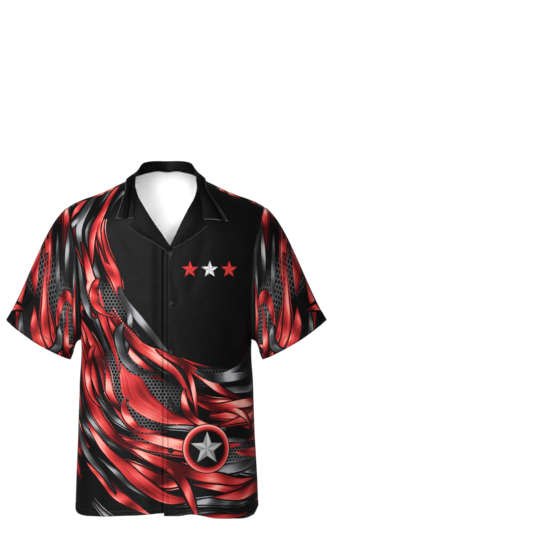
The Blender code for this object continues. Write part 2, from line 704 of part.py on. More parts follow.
def main():
    for obj in list(bpy.data.objects):
        bpy.data.objects.remove(obj)
    shirt = bpy.data.collections.new("bowling_shirt")
    bpy.context.scene.collection.children.link(shirt)
    printed = material("printed_cloth", PRINTED)
    plain = material("plain_cloth", PLAIN_BLACK)
    grey = material("button_plastic", BUTTON_GREY)
    right = front_panel(-1, RIGHT_FRONT_EDGE, RIGHT_FRONT_HEM)
    left = front_panel(1, LEFT_FRONT_EDGE, LEFT_FRONT_HEM)
    back = back_panel()
    cloth("back", back, printed, shirt)
    cloth("right_front", underlapped(right)[:, ::-1], printed, shirt)
    cloth("left_front", left, printed, shirt)
    cloth("right_sleeve", sleeve(-1, right, back), printed, shirt, closed=True)
    cloth("left_sleeve", sleeve(1, left, back), printed, shirt, closed=True)
    cloth("collar", collar(), plain, shirt)
    cloth("right_lapel", lapel(-1, RIGHT_FRONT_EDGE, RIGHT_LAPEL_GORGE, RIGHT_LAPEL_OUTER), plain, shirt)
    cloth("left_lapel", lapel(1, LEFT_FRONT_EDGE, LEFT_LAPEL_GORGE, LEFT_LAPEL_OUTER), plain, shirt)
    for k in range(BUTTON_COUNT):
        button(f"button_{k + 1}", FIRST_BUTTON_HEIGHT - BUTTON_PITCH * k, grey, shirt)


main()
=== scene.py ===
import math
from functools import partialmethod

import bmesh
import bpy
import numpy as np
from mathutils import Matrix, Vector


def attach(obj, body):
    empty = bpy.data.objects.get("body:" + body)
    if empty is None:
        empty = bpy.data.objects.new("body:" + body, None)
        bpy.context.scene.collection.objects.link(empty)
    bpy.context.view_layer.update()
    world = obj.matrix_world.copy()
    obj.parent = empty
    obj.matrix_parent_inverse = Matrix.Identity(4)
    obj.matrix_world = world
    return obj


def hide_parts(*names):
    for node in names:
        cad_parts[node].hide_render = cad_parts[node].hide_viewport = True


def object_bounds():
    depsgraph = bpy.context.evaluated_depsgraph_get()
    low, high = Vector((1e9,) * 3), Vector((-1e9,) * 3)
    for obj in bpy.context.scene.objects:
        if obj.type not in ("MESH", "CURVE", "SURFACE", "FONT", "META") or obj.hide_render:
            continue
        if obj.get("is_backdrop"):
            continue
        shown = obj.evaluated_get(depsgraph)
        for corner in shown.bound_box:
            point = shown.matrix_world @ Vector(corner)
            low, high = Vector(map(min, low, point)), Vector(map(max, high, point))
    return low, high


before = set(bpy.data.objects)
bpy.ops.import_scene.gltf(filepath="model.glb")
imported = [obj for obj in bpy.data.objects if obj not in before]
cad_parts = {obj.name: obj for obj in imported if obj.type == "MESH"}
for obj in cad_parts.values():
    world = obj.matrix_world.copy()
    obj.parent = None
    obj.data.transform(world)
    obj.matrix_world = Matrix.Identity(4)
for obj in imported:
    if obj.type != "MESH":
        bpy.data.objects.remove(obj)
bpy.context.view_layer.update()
scene = bpy.context.scene
pi = math.pi
print("frame loaded,", len(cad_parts), "nodes")

# the block the pattern is cut to, in metres: sections up the body, the shoulder's ridge, the armhole
block = {
    "sectionPower": 2.4,
    "shoulderPower": 2.2,
    "shoulderClosing": 0.12,
    "seamForward": 0.034,
    "neckHalfWidth": 0.0665,
    "shoulderPoint": 0.2155,
    "underarm": -0.345,
    "breakPoint": -0.1394,
    "frontCorner": -0.706,
    "backHem": -0.718,
    "backCorner": -0.676,
    "ventTop": -0.612,
    "ventSpread": 0.004,
    "wall": 0.0012,
    "height": [-0.760, -0.650, -0.540, -0.440, -0.345, -0.250, -0.150, -0.055, 0.060],
    "halfWidth": [0.1998, 0.1975, 0.1932, 0.1902, 0.1872, 0.2120, 0.2320, 0.2500, 0.2620],
    "frontDepth": [0.117, 0.118, 0.121, 0.125, 0.128, 0.129, 0.126, 0.121, 0.118],
    "backDepth": [0.110, 0.109, 0.108, 0.110, 0.115, 0.120, 0.123, 0.121, 0.116],
    "ridgeAcross": [0.0, 0.015, 0.045, 0.080, 0.100, 0.134, 0.155, 0.185, 0.2035, 0.2180, 0.2500, 0.2700],
    "ridgeHeight": [0.0430, 0.0420, 0.0290, 0.0095, 0.0, -0.0165, -0.0250, -0.0355, -0.0440, -0.0530,
                    -0.0880, -0.1200],
    "armholeHeight": [-0.345, -0.290, -0.200, -0.120, -0.055, -0.030],
    "armholeAcross": [0.1872, 0.1850, 0.1890, 0.1985, 0.2155, 0.2200],
    "rows": (12, 8, 8),                  # hem to underarm, to the break, to the shoulder
    "backColumns": 11,
    "necklineColumns": 4,
    "rowsToNeckline": 12,
    "hemWaves": 7,
    "hemWaveDepth": 0.0028,
    "hemWavesFrom": -0.50,
    "hemWaveRound": (0.19, 0.12, 0.6),   # half width and half depth that the waves run round, and their start
    "hemShapeRows": 5,
    "hemBend": 8,
}

# front edges from hem to neck, across from the middle towards their own side, and each front's hem
rightEdge = {
    "height": [-0.760, -0.190, -0.1683, -0.1526, -0.1394, -0.1172, -0.0849, -0.0587, -0.0314, -0.008, 0.010],
    "across": [-0.0277, -0.0277, -0.0277, -0.0227, -0.0117, 0.0030, 0.0256, 0.0422, 0.0581, 0.0656, 0.0665],
    "hemAcross": [-0.0277, 0.0060, 0.0320, 0.0580, 0.0970, 0.1360, 0.1620, 0.1755, 0.1866, 0.1930, 0.1985],
    "hemHeight": [-0.7150, -0.7153, -0.7173, -0.7197, -0.7216, -0.7240, -0.7242, -0.7238, -0.7208, -0.7160,
                  -0.706],
}
leftEdge = {
    "height": [-0.760, -0.190, -0.1683, -0.1565, -0.1394, -0.1172, -0.0872, -0.0564, -0.0314, -0.008, 0.010],
    "across": [-0.0018, -0.0018, -0.0018, -0.0008, 0.0117, 0.0232, 0.0371, 0.0524, 0.0651, 0.0692, 0.0665],
    "hemAcross": [-0.0018, 0.0330, 0.0590, 0.0850, 0.1000, 0.1240, 0.1500, 0.1660, 0.1780, 0.1866, 0.1935,
                  0.1985],
    "hemHeight": [-0.7212, -0.7210, -0.7178, -0.7218, -0.7255, -0.7278, -0.7290, -0.7297, -0.7288, -0.7258,
                  -0.7205, -0.706],
}

# the largest folds, as in the solids: side (-1 front, 1 back), x and z at the top, x and z at the bottom,
# half width, depth
mainFolds = [
    (-1, -0.165, -0.300, -0.110, -0.470, 0.022, -0.0045),
    (-1, 0.168, -0.310, 0.125, -0.450, 0.022, -0.0050),
    (-1, -0.060, -0.560, -0.085, -0.730, 0.026, -0.0035),
    (-1, 0.075, -0.500, 0.100, -0.730, 0.026, 0.0040),
    (1, -0.160, -0.290, -0.090, -0.480, 0.026, -0.0050),
    (1, 0.160, -0.290, 0.100, -0.500, 0.026, -0.0050),
    (1, 0.010, -0.420, 0.020, -0.720, 0.040, -0.0040),
]

# smaller creases, with the same columns
smallCreases = [
    (-1, -0.196, -0.150, -0.150, -0.255, 0.0075, -0.0016),     # from the right armhole
    (-1, -0.190, -0.215, -0.135, -0.330, 0.0090, -0.0020),
    (-1, -0.182, -0.325, -0.120, -0.395, 0.0070, -0.0022),
    (-1, -0.180, -0.350, -0.150, -0.480, 0.0080, -0.0018),
    (-1, 0.196, -0.140, 0.160, -0.240, 0.0080, -0.0016),       # from the left armhole
    (-1, 0.190, -0.225, 0.140, -0.325, 0.0090, -0.0021),
    (-1, 0.184, -0.330, 0.115, -0.405, 0.0075, -0.0022),
    (-1, 0.181, -0.365, 0.160, -0.520, 0.0080, -0.0017),
    (-1, 0.090, -0.115, 0.060, -0.230, 0.0130, -0.0014),       # chest
    (-1, -0.105, -0.110, -0.050, -0.240, 0.0130, -0.0015),
    (-1, 0.012, -0.170, 0.030, -0.255, 0.0080, -0.0009),
    (-1, 0.010, -0.300, 0.026, -0.420, 0.0090, -0.0010),       # beside the placket
    (-1, 0.014, -0.440, -0.010, -0.560, 0.0100, 0.0010),
    (-1, -0.020, -0.330, -0.050, -0.470, 0.0110, -0.0012),
    (-1, 0.055, -0.570, 0.050, -0.730, 0.0120, -0.0016),       # towards the hem
    (-1, 0.140, -0.520, 0.150, -0.730, 0.0130, -0.0020),
    (-1, -0.125, -0.540, -0.150, -0.730, 0.0130, -0.0022),
    (-1, -0.030, -0.610, -0.022, -0.730, 0.0100, -0.0012),
    (1, -0.185, -0.180, -0.120, -0.300, 0.0100, -0.0022),      # back
    (1, 0.186, -0.170, 0.125, -0.310, 0.0100, -0.0022),
    (1, -0.181, -0.340, -0.110, -0.420, 0.0085, -0.0024),
    (1, 0.181, -0.335, 0.120, -0.430, 0.0085, -0.0024),
    (1, -0.070, -0.100, -0.050, -0.300, 0.0160, -0.0016),
    (1, 0.075, -0.110, 0.045, -0.320, 0.0150, -0.0016),
    (1, -0.120, -0.500, -0.140, -0.720, 0.0140, -0.0024),
    (1, 0.125, -0.520, 0.150, -0.720, 0.0140, -0.0024),
    (1, -0.045, -0.540, -0.050, -0.720, 0.0130, -0.0018),
    (1, 0.065, -0.560, 0.070, -0.720, 0.0130, -0.0018),
]


def hermite(t, start, leaving, end, arriving):  # a smooth way from one value to another
    first = (2 * t**3 - 3 * t**2 + 1) * start + (t**3 - 2 * t**2 + t) * leaving
    return first + (3 * t**2 - 2 * t**3) * end + (t**3 - t**2) * arriving


def curveThrough(knots, values, at):
    knots = np.asarray(knots, float)
    values = np.asarray(values, float)
    slopes = np.gradient(values, knots, axis=0)
    at = np.clip(np.asarray(at, float), knots[0], knots[-1])
    i = np.clip(np.searchsorted(knots, at, side="right") - 1, 0, len(knots) - 2)
    span = knots[i + 1] - knots[i]
    t = (at - knots[i]) / span
    if values.ndim > 1:
        t = t[..., None]
        span = span[..., None]
    return hermite(t, values[i], span * slopes[i], values[i + 1], span * slopes[i + 1])


def smoothStep(low, high, at):
    t = np.clip((at - low) / (high - low), 0, 1)
    return t * t * (3 - 2 * t)


def near(way, at, width):
    return np.exp(-(((way - at) / width) ** 2))


def unit(vectors):
    return vectors / np.maximum(np.linalg.norm(vectors, axis=-1, keepdims=True), 1e-9)


def pathLength(points, axis=0):  # the way along a line of points, or along each line of a grid
    steps = np.linalg.norm(np.diff(points, axis=axis), axis=-1)
    start = np.zeros_like(np.take(steps, [0], axis=axis))
    return np.concatenate([start, np.cumsum(steps, axis=axis)], axis=axis)


def section(name, height):
    return curveThrough(block["height"], block[name], height)


def ridgeHeight(x):
    return curveThrough(block["ridgeAcross"], block["ridgeHeight"], abs(x))


def armholeAcross(height):
    return curveThrough(block["armholeHeight"], block["armholeAcross"], height)


def edgeAcross(edge, height):
    return curveThrough(edge["height"], edge["across"], height)


def dropAt(way):  # how far below the shoulder's ridge a way down the front or back has come
    closing = block["shoulderClosing"]
    angle = np.clip(way / closing, 0, pi / 2)
    drop = closing * (1 - np.cos(angle) ** (2 / block["shoulderPower"]))
    return drop + np.maximum(way - closing * pi / 2, 0)


def heightAt(x, way):
    return ridgeHeight(x) - dropAt(way)


def shareAt(turn):  # how far out from the middle a turn round the body has come, as a share of the half width
    return np.sign(turn) * np.abs(np.sin(turn)) ** (2 / block["sectionPower"])


def formAt(turn, over, relief=True):  # turn goes round the body, over goes over the shoulder: + back, - front
    way = np.abs(over)
    closed = np.sin(np.clip(way / block["shoulderClosing"], 0, pi / 2)) ** (2 / block["shoulderPower"])
    drop = dropAt(way)
    share = shareAt(turn)
    x = 0.2 * share
    for _ in range(6):
        z = ridgeHeight(x) - drop
        x = section("halfWidth", z) * share
    depth = np.where(over < 0, -section("frontDepth", z), section("backDepth", z))
    points = np.stack([x, depth * np.abs(np.cos(turn)) ** (2 / block["sectionPower"]) * closed, z], -1)
    return points + outward(points) * mainRelief(points)[..., None] if relief else points


def turnAndWay(x, z):
    share = np.clip(x / section("halfWidth", z), -1, 1)
    turn = np.sign(share) * np.arcsin(np.abs(share) ** (block["sectionPower"] / 2))
    closing = block["shoulderClosing"]
    drop = np.maximum(ridgeHeight(x) - z, 0)
    angle = np.arccos((1 - np.minimum(drop / closing, 1)) ** (block["shoulderPower"] / 2))
    return turn, closing * angle + np.maximum(drop - closing, 0)


def outward(points):
    x, y, z = np.moveaxis(points, -1, 0)
    depth = np.where(y < 0, section("frontDepth", z), section("backDepth", z))
    return unit(np.stack([x / section("halfWidth", z) ** 2, y / depth**2, np.zeros_like(z)], -1))


def creaseRelief(creases, points):
    x, y, z = np.moveaxis(points, -1, 0)
    out = np.zeros_like(z)
    for side, xTop, zTop, xBottom, zBottom, halfWidth, depth in creases:
        line = np.array([xBottom - xTop, zBottom - zTop])
        along = ((x - xTop) * line[0] + (z - zTop) * line[1]) / (line @ line)
        offX = x - xTop - np.clip(along, 0, 1) * line[0]
        offZ = z - zTop - np.clip(along, 0, 1) * line[1]
        beside = np.exp(-(offX**2 + offZ**2) / halfWidth**2)
        # a crease dies out a little past its ends
        ends = smoothStep(-0.25, 0.3, along) * smoothStep(1.45, 0.9, along)
        out = out + depth * beside * ends * smoothStep(0.0, 0.03, side * y)
    return out


def mainRelief(points):
    x, y, z = np.moveaxis(points, -1, 0)
    halfWidth, halfDepth, start = block["hemWaveRound"]
    wave = np.cos(block["hemWaves"] * np.arctan2(y / halfDepth, x / halfWidth) + start)
    rise = smoothStep(block["hemWavesFrom"], block["backHem"], z)
    return creaseRelief(mainFolds, points) + block["hemWaveDepth"] * wave * rise


def frontSurface(x, z, lift):
    step = 0.002

    def at(x, z):
        turn, way = turnAndWay(x, z)
        return formAt(turn, -way)

    normal = unit(np.cross(at(x + step, z) - at(x - step, z), at(x, z + step) - at(x, z - step)))
    return at(x, z) + normal * np.asarray(lift)[..., None]


# panels: each is a grid of points, [row][column], worked out finely from the same block
grain = {
    "rowStops": np.r_[0:0.56:0.055, 0.66 : 27.6 : 1 / 7, 27.72, 27.84, 27.93, 28.0],
    "frontStops": np.r_[0:0.58:0.07, 0.70 : 11.7 : 1 / 6.5, 11.8, 11.88, 11.95, 12.0] / 12,
    "backStops": np.r_[0:64, 64.2, 64.9, 65.4, 65.75, 66.0] / 66,
    "sleeveStops": np.r_[0, 0.006, 0.013, 0.022, np.arange(2, 44) / 50, np.linspace(0.88, 1, 11)],
}


def evenRow(side, turnEnds, overEnds, level, bend, stops, edge=None, hemShare=0.0):
    share = np.linspace(0, 1, 121)
    turn = turnEnds[0] + (turnEnds[1] - turnEnds[0]) * share
    over = overEnds[0] + (overEnds[1] - overEnds[0]) * share
    ends = formAt(side * np.array(turnEnds), np.array(overEnds), relief=False)
    height = ends[0, 2] + (ends[1, 2] - ends[0, 2]) * share**bend
    across = section("halfWidth", height) * shareAt(turn)
    if hemShare > 0:  # near the hem a row takes on the hem's own shape
        shaped = curveThrough(edge["hemAcross"], edge["hemHeight"], across)
        first, last = edge["hemHeight"][0], edge["hemHeight"][-1]
        height = height + (shaped - first - (last - first) * share ** block["hemBend"]) * hemShare
    over = over + (np.sign(overEnds[1]) * turnAndWay(across, height)[1] - over) * level
    run = pathLength(formAt(side * turn, over))
    even = np.interp(np.asarray(stops) * run[-1], run, share)
    return formAt(side * np.interp(even, share, turn), np.interp(even, share, over))


def stations(hem, underarm, breakLevel, top):  # values down a panel's edge at the row stops
    knots = np.cumsum([0, *block["rows"]])
    return np.interp(grain["rowStops"], knots, [hem, underarm, breakLevel, top])


def outerEdge(corner, side):  # side seam and armhole
    levels = corner, block["underarm"], block["breakPoint"]
    across = section("halfWidth", corner), section("halfWidth", levels[1]), armholeAcross(levels[2])
    ways = [side * turnAndWay(x, z)[1] for x, z in zip(across, levels)]
    over = stations(*ways, -block["seamForward"])
    turns = []
    for way, stop in zip(np.abs(over), grain["rowStops"]):
        x = block["shoulderPoint"]
        inArmhole = stop >= block["rows"][0] - 1e-6
        for _ in range(8):
            z = heightAt(x, way)
            x = armholeAcross(z) if inArmhole else section("halfWidth", z)
        if inArmhole:
            turns.append(turnAndWay(x, z)[0])
        else:
            depth = section("frontDepth" if side < 0 else "backDepth", z)
            spread = block["ventSpread"] * smoothStep(block["ventTop"], corner, z)
            turns.append(np.arccos((spread / depth) ** (block["sectionPower"] / 2)))
    return np.array(turns), over


def frontPanel(side, edge):
    levels = edge["hemHeight"][0], block["underarm"], block["breakPoint"]
    ways = [-turnAndWay(edgeAcross(edge, z), z)[1] for z in levels]
    innerOver = stations(*ways, -block["seamForward"])
    outerTurn, outerOver = outerEdge(block["frontCorner"], -1)
    rows = []
    for k, over, turnOut, overOut in zip(grain["rowStops"], innerOver, outerTurn, outerOver):
        x = 0.0
        for _ in range(6):
            x = edgeAcross(edge, heightAt(x, abs(over)))
        turn = turnAndWay(x, heightAt(x, abs(over)))[0]
        nearHem = smoothStep(block["hemShapeRows"], 0, k)
        bend = 1 + (block["hemBend"] - 1) * nearHem
        level = smoothStep(sum(block["rows"]), block["rows"][0], k)
        ends = (turn, turnOut), (over, overOut)
        rows.append(evenRow(side, *ends, level, bend, grain["frontStops"], edge, nearHem))
    return np.array(rows)


def backHalf(side):
    stops = grain["rowStops"]
    ways = [turnAndWay(0.0, block[name])[1] for name in ("backHem", "underarm", "breakPoint")]
    middleOver = stations(*ways, collarRound["neckOver"][0])
    outerTurn, outerOver = outerEdge(block["backCorner"], 1)
    below = sum(block["rows"]) - block["rowsToNeckline"]
    rows = []
    lowTurn = lowOver = None
    topTurn, topOver = backTopRow(outerTurn[-1])
    for k, stop in enumerate(stops):
        if stop <= below or lowTurn is None:
            bend = 1 + smoothStep(block["rows"][0], 0, stop)
            ends = (0.0, outerTurn[k]), (middleOver[k], outerOver[k])
            rows.append(evenRow(side, *ends, 1.0, bend, grain["backStops"]))
            if stops[k + 1] > below:
                lowTurn, lowOver = turnAndWay(rows[-1][:, 0] * side, rows[-1][:, 2])
                below = stop
            continue
        share = (stop - below) / (sum(block["rows"]) - below)
        turn = lowTurn + (topTurn - lowTurn) * share
        over = lowOver + (topOver - lowOver) * share
        turn[-1], over[-1] = outerTurn[k], outerOver[k]
        rows.append(formAt(side * turn, over))
    return np.array(rows)


def pastMiddle(values, at, mirror=1):  # a curve that goes on past the middle of the back, with no peak there
    values = np.asarray(values, float)
    return curveThrough(range(-1, len(values)), np.concatenate([[values[1] * mirror], values]), at)


def backTopRow(lastTurn):
    neckCount, count = block["necklineColumns"], block["backColumns"]
    at = grain["backStops"] * count
    neck = np.clip(at / neckCount, 0, 1) * (len(collarRound["neckX"]) - 1)
    beyond = np.clip((at - neckCount) / (count - neckCount), 0, 1)
    shoulder = block["neckHalfWidth"] + (block["shoulderPoint"] - block["neckHalfWidth"]) * beyond
    x = np.where(at > neckCount, shoulder, pastMiddle(collarRound["neckX"], neck, -1))
    over = np.where(at > neckCount, -block["seamForward"], pastMiddle(collarRound["neckOver"], neck))
    turn = turnAndWay(x, heightAt(x, np.abs(over)))[0]
    turn[-1] = lastTurn
    return turn, over


# collar: neck seam, top of the roll and outer edge, from the middle of the back to the shoulder seam
collarRound = {
    "neckX": [0.000, 0.032, 0.0545, 0.0650, 0.0665],
    "neckOver": [0.0650, 0.0470, 0.0260, 0.0090, -0.0340],
    "roll": [(0, 0.0670, 0.0522), (0.0330, 0.0570, 0.0520), (0.0535, 0.0370, 0.0463),
             (0.0605, 0.0110, 0.0320), (0.0612, -0.0300, 0.0202)],
    "edgeX": [0.000, 0.0380, 0.0660, 0.0795, 0.0845],
    "edgeOver": [0.0890, 0.0840, 0.0600, 0.0180, -0.0340],
    "edgeLift": [0.0035, 0.0035, 0.0035, 0.0032, 0.0055],
    "rollRadius": 0.0032,
    "leafLift": 0.0030,
    "lengthCells": 17 * 6,
    "acrossKnots": [0.0, 0.14, 0.28, 0.40, 0.47, 0.54, 0.64, 0.76, 0.88, 1.0],
    "acrossStops": 46,
    "standing": [1, 1, 1, 1, 0.8, 0, 0, 0],
}
# each leaf from the top of the gorge seam to the notch: gorge x, z, edge x, z, loft
collarLeaves = {
    -1: [(0.0646, -0.0159, 0.0862, -0.0179, 0.0030), (0.0640, -0.0422, 0.0930, -0.0441, 0.0040),
         (0.0651, -0.0780, 0.1039, -0.0795, 0.0020)],
    1: [(0.0702, -0.0159, 0.0900, -0.0169, 0.0030), (0.0778, -0.0442, 0.1078, -0.0432, 0.0045),
        (0.0831, -0.0809, 0.1356, -0.0849, 0.0020)],
}


def lifted(turn, over, lift):
    step = 0.002
    across = formAt(turn + step, over) - formAt(turn - step, over)
    along = formAt(turn, over + step) - formAt(turn, over - step)
    return formAt(turn, over) + unit(np.cross(across, along)) * lift[:, None]


def collarHalf(side):
    back = collarRound
    gorgeX, gorgeZ, leafX, leafZ, loft = np.array(collarLeaves[side]).T
    table = np.stack([
        np.append(back["neckX"], gorgeX),
        np.append(back["neckOver"], -turnAndWay(gorgeX, gorgeZ)[1]),
        np.append(back["edgeX"], leafX),
        np.append(back["edgeOver"], -turnAndWay(leafX, leafZ)[1]),
        np.append([0.0] * len(back["neckX"]), loft),
        np.append(back["edgeLift"], [back["leafLift"]] * len(loft)),
    ], -1)
    last = len(table) - 1
    at = np.linspace(0, last, back["lengthCells"] + 1)
    rows = pastMiddle(table, at, (-1, 1, -1, 1, 1, 1))
    tops = pastMiddle(back["roll"], np.minimum(at, len(back["roll"]) - 1), (-1, 1, 1)) * (side, 1, 1)
    standing = smoothStep(0, 1, np.interp(at, np.arange(last + 1), back["standing"]))
    return np.array([collarSection(side, *row) for row in zip(rows, tops, standing)])


def collarSection(side, row, top, standing):
    neckX, neckOver, edgeX, edgeOver, loft, lift = row
    radius, leafLift, knots = (collarRound[name] for name in ("rollRadius", "leafLift", "acrossKnots"))
    across = np.interp(np.linspace(0, len(knots) - 1, collarRound["acrossStops"]), range(len(knots)), knots)
    x = side * (neckX + (edgeX - neckX) * across)
    over = neckOver + (edgeOver - neckOver) * across
    turn = turnAndWay(x, heightAt(x, np.abs(over)))[0]
    lying = lifted(turn, over, leafLift + (lift - leafLift) * across + loft * np.sin(pi * across))
    neck, edge = lying[0], lying[-1]
    away = unit((edge - neck) * (1, 1, 0))
    up = np.array([0.0, 0.0, 1.0])
    path = np.array([
        neck,
        neck + (top - neck) * 0.6 - away * radius * 0.2,
        top,
        top + away * radius * 1.4 - up * radius,
        (top + edge) / 2 + away * radius * 1.3,
        edge,
    ])
    run = pathLength(path)
    return lying + (curveThrough(run, path, across * run[-1]) - lying) * standing


# lapels: the gorge edge from the roll line to the tip, then the outer edge from the break to the tip
lapels = {
    "cells": (66, 40),
    "edgeStops": (0, 0.3, 0.75, 1),
    "lift": 0.0025,
    "loft": 0.0022,
    "rollBack": 0.0011,
    "rollStart": 0.004,
    "fold": [(0.0, 0.0), (-0.7, 0.25), (-1.0, 0.6)],  # the fold itself turns under, to the front's own edge
    -1: {"gorge": [(0.0645, -0.0128), (0.0632, -0.0422), (0.0636, -0.0795), (0.0767, -0.0957)],
         "outer": [(-0.0031, -0.1482), (0.0253, -0.1300), (0.0581, -0.1112), (0.0767, -0.0957)]},
    1: {"gorge": [(0.0694, -0.0128), (0.0763, -0.0442), (0.0821, -0.0819), (0.0935, -0.0937)],
        "outer": [(0.0188, -0.1428), (0.0356, -0.1351), (0.0748, -0.1094), (0.0935, -0.0937)]},
}


def lapelGrid(side, edge):
    rows, columns = lapels["cells"]
    gorge, outer = np.array(lapels[side]["gorge"]), np.array(lapels[side]["outer"])
    up = np.linspace(0, 1, rows + 1)
    t = np.linspace(0, 1, columns + 1)
    rollZ = outer[0, 1] + lapels["rollStart"] + (gorge[0, 1] - outer[0, 1] - lapels["rollStart"]) * up
    roll = np.stack([edgeAcross(edge, rollZ), rollZ], -1)
    rim = curveThrough(lapels["edgeStops"], outer, up)
    seam = curveThrough(lapels["edgeStops"], gorge, t)
    straight = roll[-1] + (rim[-1] - roll[-1]) * t[:, None]
    points = []
    for k in range(rows + 1):
        x, z = (roll[k] + (rim[k] - roll[k]) * t[:, None] + (seam - straight) * up[k] ** 2).T
        lift = lapels["lift"] + lapels["loft"] * np.sin(pi * t) * np.sin(pi * up[k]) + lapelPuckers(t, up[k])
        x = np.concatenate([[x[0] + lapels["rollBack"] * back for back, _ in lapels["fold"]], x])
        z = np.concatenate([[z[0]] * len(lapels["fold"]), z])
        lift = np.concatenate([[lapels["lift"] * share for _, share in lapels["fold"]], lift])
        points.append(frontSurface(side * x, z, lift))
    return np.array(points)


def lapelPuckers(t, up):  # small pulls along the outer edge's stitching
    pulls = np.sin(up * 46 + 3.0 * np.sin(up * 9)) * near(1 - t, 0.12, 0.10)
    return 0.00035 * pulls * smoothStep(0.05, 0.2, up) * smoothStep(1.0, 0.8, up)


sleeveShape = {
    "outerTip": (0.3515, -0.2985),
    "innerTip": (0.2120, -0.3850),
    "hemHalfDepth": 0.048,
    "hemSag": 0.007,
    "hemWidth": 0.022,
    "hemStep": 0.0006,
    "cut": (0.44, 0.20),
    # how the cloth leaves the armhole and comes to the hem: under the arm, and what the top of the arm adds
    "leaving": ((0.045, 0, 0.012), (0.100, 0, -0.100)),
    "arriving": (0.055, 0.215),
    # around and along at the top, at the hem, half width, depth
    "folds": [(0.17, 0.05, 0.34, 0.85, 0.045, -0.0045), (0.28, 0.40, 0.25, 1.00, 0.050, 0.0035),
              (0.80, 0.10, 0.70, 0.90, 0.050, -0.0045)],
    "creases": [(0.08, 0.10, 0.20, 0.75, 0.016, -0.0022), (0.12, 0.02, 0.13, 0.60, 0.014, -0.0020),
                (0.36, 0.30, 0.42, 1.00, 0.018, -0.0018), (0.90, 0.08, 0.80, 0.70, 0.016, -0.0022),
                (0.86, 0.04, 0.88, 0.60, 0.014, -0.0018), (0.62, 0.35, 0.58, 1.00, 0.020, -0.0018),
                (0.30, 0.02, 0.30, 0.22, 0.010, -0.0010), (0.44, 0.01, 0.45, 0.20, 0.010, -0.0010)],
}


def sleeveGrid(side, front, back):
    low = np.searchsorted(grain["rowStops"], block["rows"][0] - 1e-6)
    ring = np.concatenate([front[low:, -1], back[low:-1, -1 if side > 0 else 0][::-1]])
    ring[0] = ring[-1] = (ring[0] + ring[-1]) / 2
    start = ring * (side, 1, 1)
    run = pathLength(start)
    roundArm = 2 * pi * run / run[-1]
    inner, outer = (np.array([x, 0.0, z]) for x, z in (sleeveShape["innerTip"], sleeveShape["outerTip"]))
    halfChord = (outer - inner) / 2
    downArm = np.array([halfChord[2], 0, -halfChord[0]]) / np.linalg.norm(halfChord)
    swing, high = np.sin(roundArm)[:, None], (1 - np.cos(roundArm))[:, None] / 2
    end = (inner + outer) / 2 - np.cos(roundArm)[:, None] * halfChord
    end = end - swing * (0, sleeveShape["hemHalfDepth"], 0)
    end = end + (swing + swing**2) / 2 * sleeveShape["hemSag"] * downArm
    under, top = np.array(sleeveShape["leaving"])
    arriving = (sleeveShape["arriving"][0] + sleeveShape["arriving"][1] * high) * downArm
    points = hermite(grain["sleeveStops"][:, None, None], start, under + high * top, end, arriving)
    along, around = np.meshgrid(grain["sleeveStops"], run / run[-1], indexing="ij")
    away = unit(points - points[:, :-1].mean(axis=1, keepdims=True))
    out = sleeveRelief(sleeveShape["folds"], along, around, side, 0.02) * smoothStep(0, 0.2, along)
    out = out + sleeveRelief(sleeveShape["creases"], along, around, side, 0.012)
    points = points + away * out[..., None]
    flat = np.stack([(around - 0.5) * sleeveShape["cut"][0], -along * sleeveShape["cut"][1]], -1)
    return points * (side, 1, 1), flat


def sleeveRelief(folds, along, around, side, shift):
    out = np.zeros_like(along)
    for aroundTop, alongTop, aroundHem, alongHem, halfWidth, depth in folds:
        share = np.clip((along - alongTop) / (alongHem - alongTop), 0, 1)
        middle = aroundTop + (aroundHem - aroundTop) * share + shift * side
        rise = smoothStep(alongTop - 0.1, alongTop + 0.3, along)
        fall = smoothStep(alongHem + 0.3, alongHem - 0.1, along)
        out = out + depth * rise * fall * near(around, middle, halfWidth)
    return out


def gridNormals(points):
    return unit(np.cross(np.gradient(points, axis=1), np.gradient(points, axis=0)))


def facing(normals, away, columns=slice(None)):  # normals turned to the side that away is on
    return normals * np.sign((normals[:, columns] * away[:, columns]).sum())


def raisedBy(relief, base, normals):  # the cloth's outer face
    return base + normals * (block["wall"] / 2 + relief)[..., None]


def bandRelief(way, width, step, groove):  # a turned hem: thicker up to its stitching, which pulls in
    return step * smoothStep(width + 0.0010, width - 0.0008, way) - groove * near(way, width, 0.0013)


# small pulls along stitching: how close they follow on each other, how far and how often that and their
# strength vary, and how far from the stitching they reach
puckers = {"closeness": 520, "drift": (2.2, 61), "fade": (0.4, 97), "reach": 0.006}


def pucker(along, across, strength, seed):
    drift, driftOften = puckers["drift"]
    fade, fadeOften = puckers["fade"]
    wave = np.sin(along * puckers["closeness"] + drift * np.sin(along * driftOften + seed))
    wave = wave * (1 - fade + fade * np.sin(along * fadeOften + seed * 2))
    return strength * wave * near(across, 0, puckers["reach"])


# rows and columns are added at a panel's edges, turned under
def turnedIn(grid, normals, start=(0, 0), end=(0, 0), turning=np.ones((1, 1))):
    depth = hems["turnUnder"]
    points, *others = grid
    normals = normals * turning[..., None]
    for axis in (0, 1):
        first, last = [np.take(points, [i], axis=axis) for i in (0, -1)]
        firstNormal, lastNormal = [np.take(normals, [i], axis=axis) for i in (0, -1)]
        before = [first - firstNormal * depth] * start[axis]
        after = [last - lastNormal * depth] * end[axis]
        points = np.concatenate([*before, points, *after], axis=axis)
        reach = [(start[axis], end[axis]) if i == axis else (0, 0) for i in range(3)]
        normals, *others = (np.pad(a, reach[: a.ndim], mode="edge") for a in (normals, *others))
    return points, *others


def placed(name, data):
    made = bpy.data.objects.new(name, data)
    scene.collection.objects.link(made)
    return made


def fromMesh(name, mesh, *looks):
    data = bpy.data.meshes.new(name)
    mesh.to_mesh(data)
    mesh.free()
    for look in looks:
        data.materials.append(look)
    return placed(name, data)
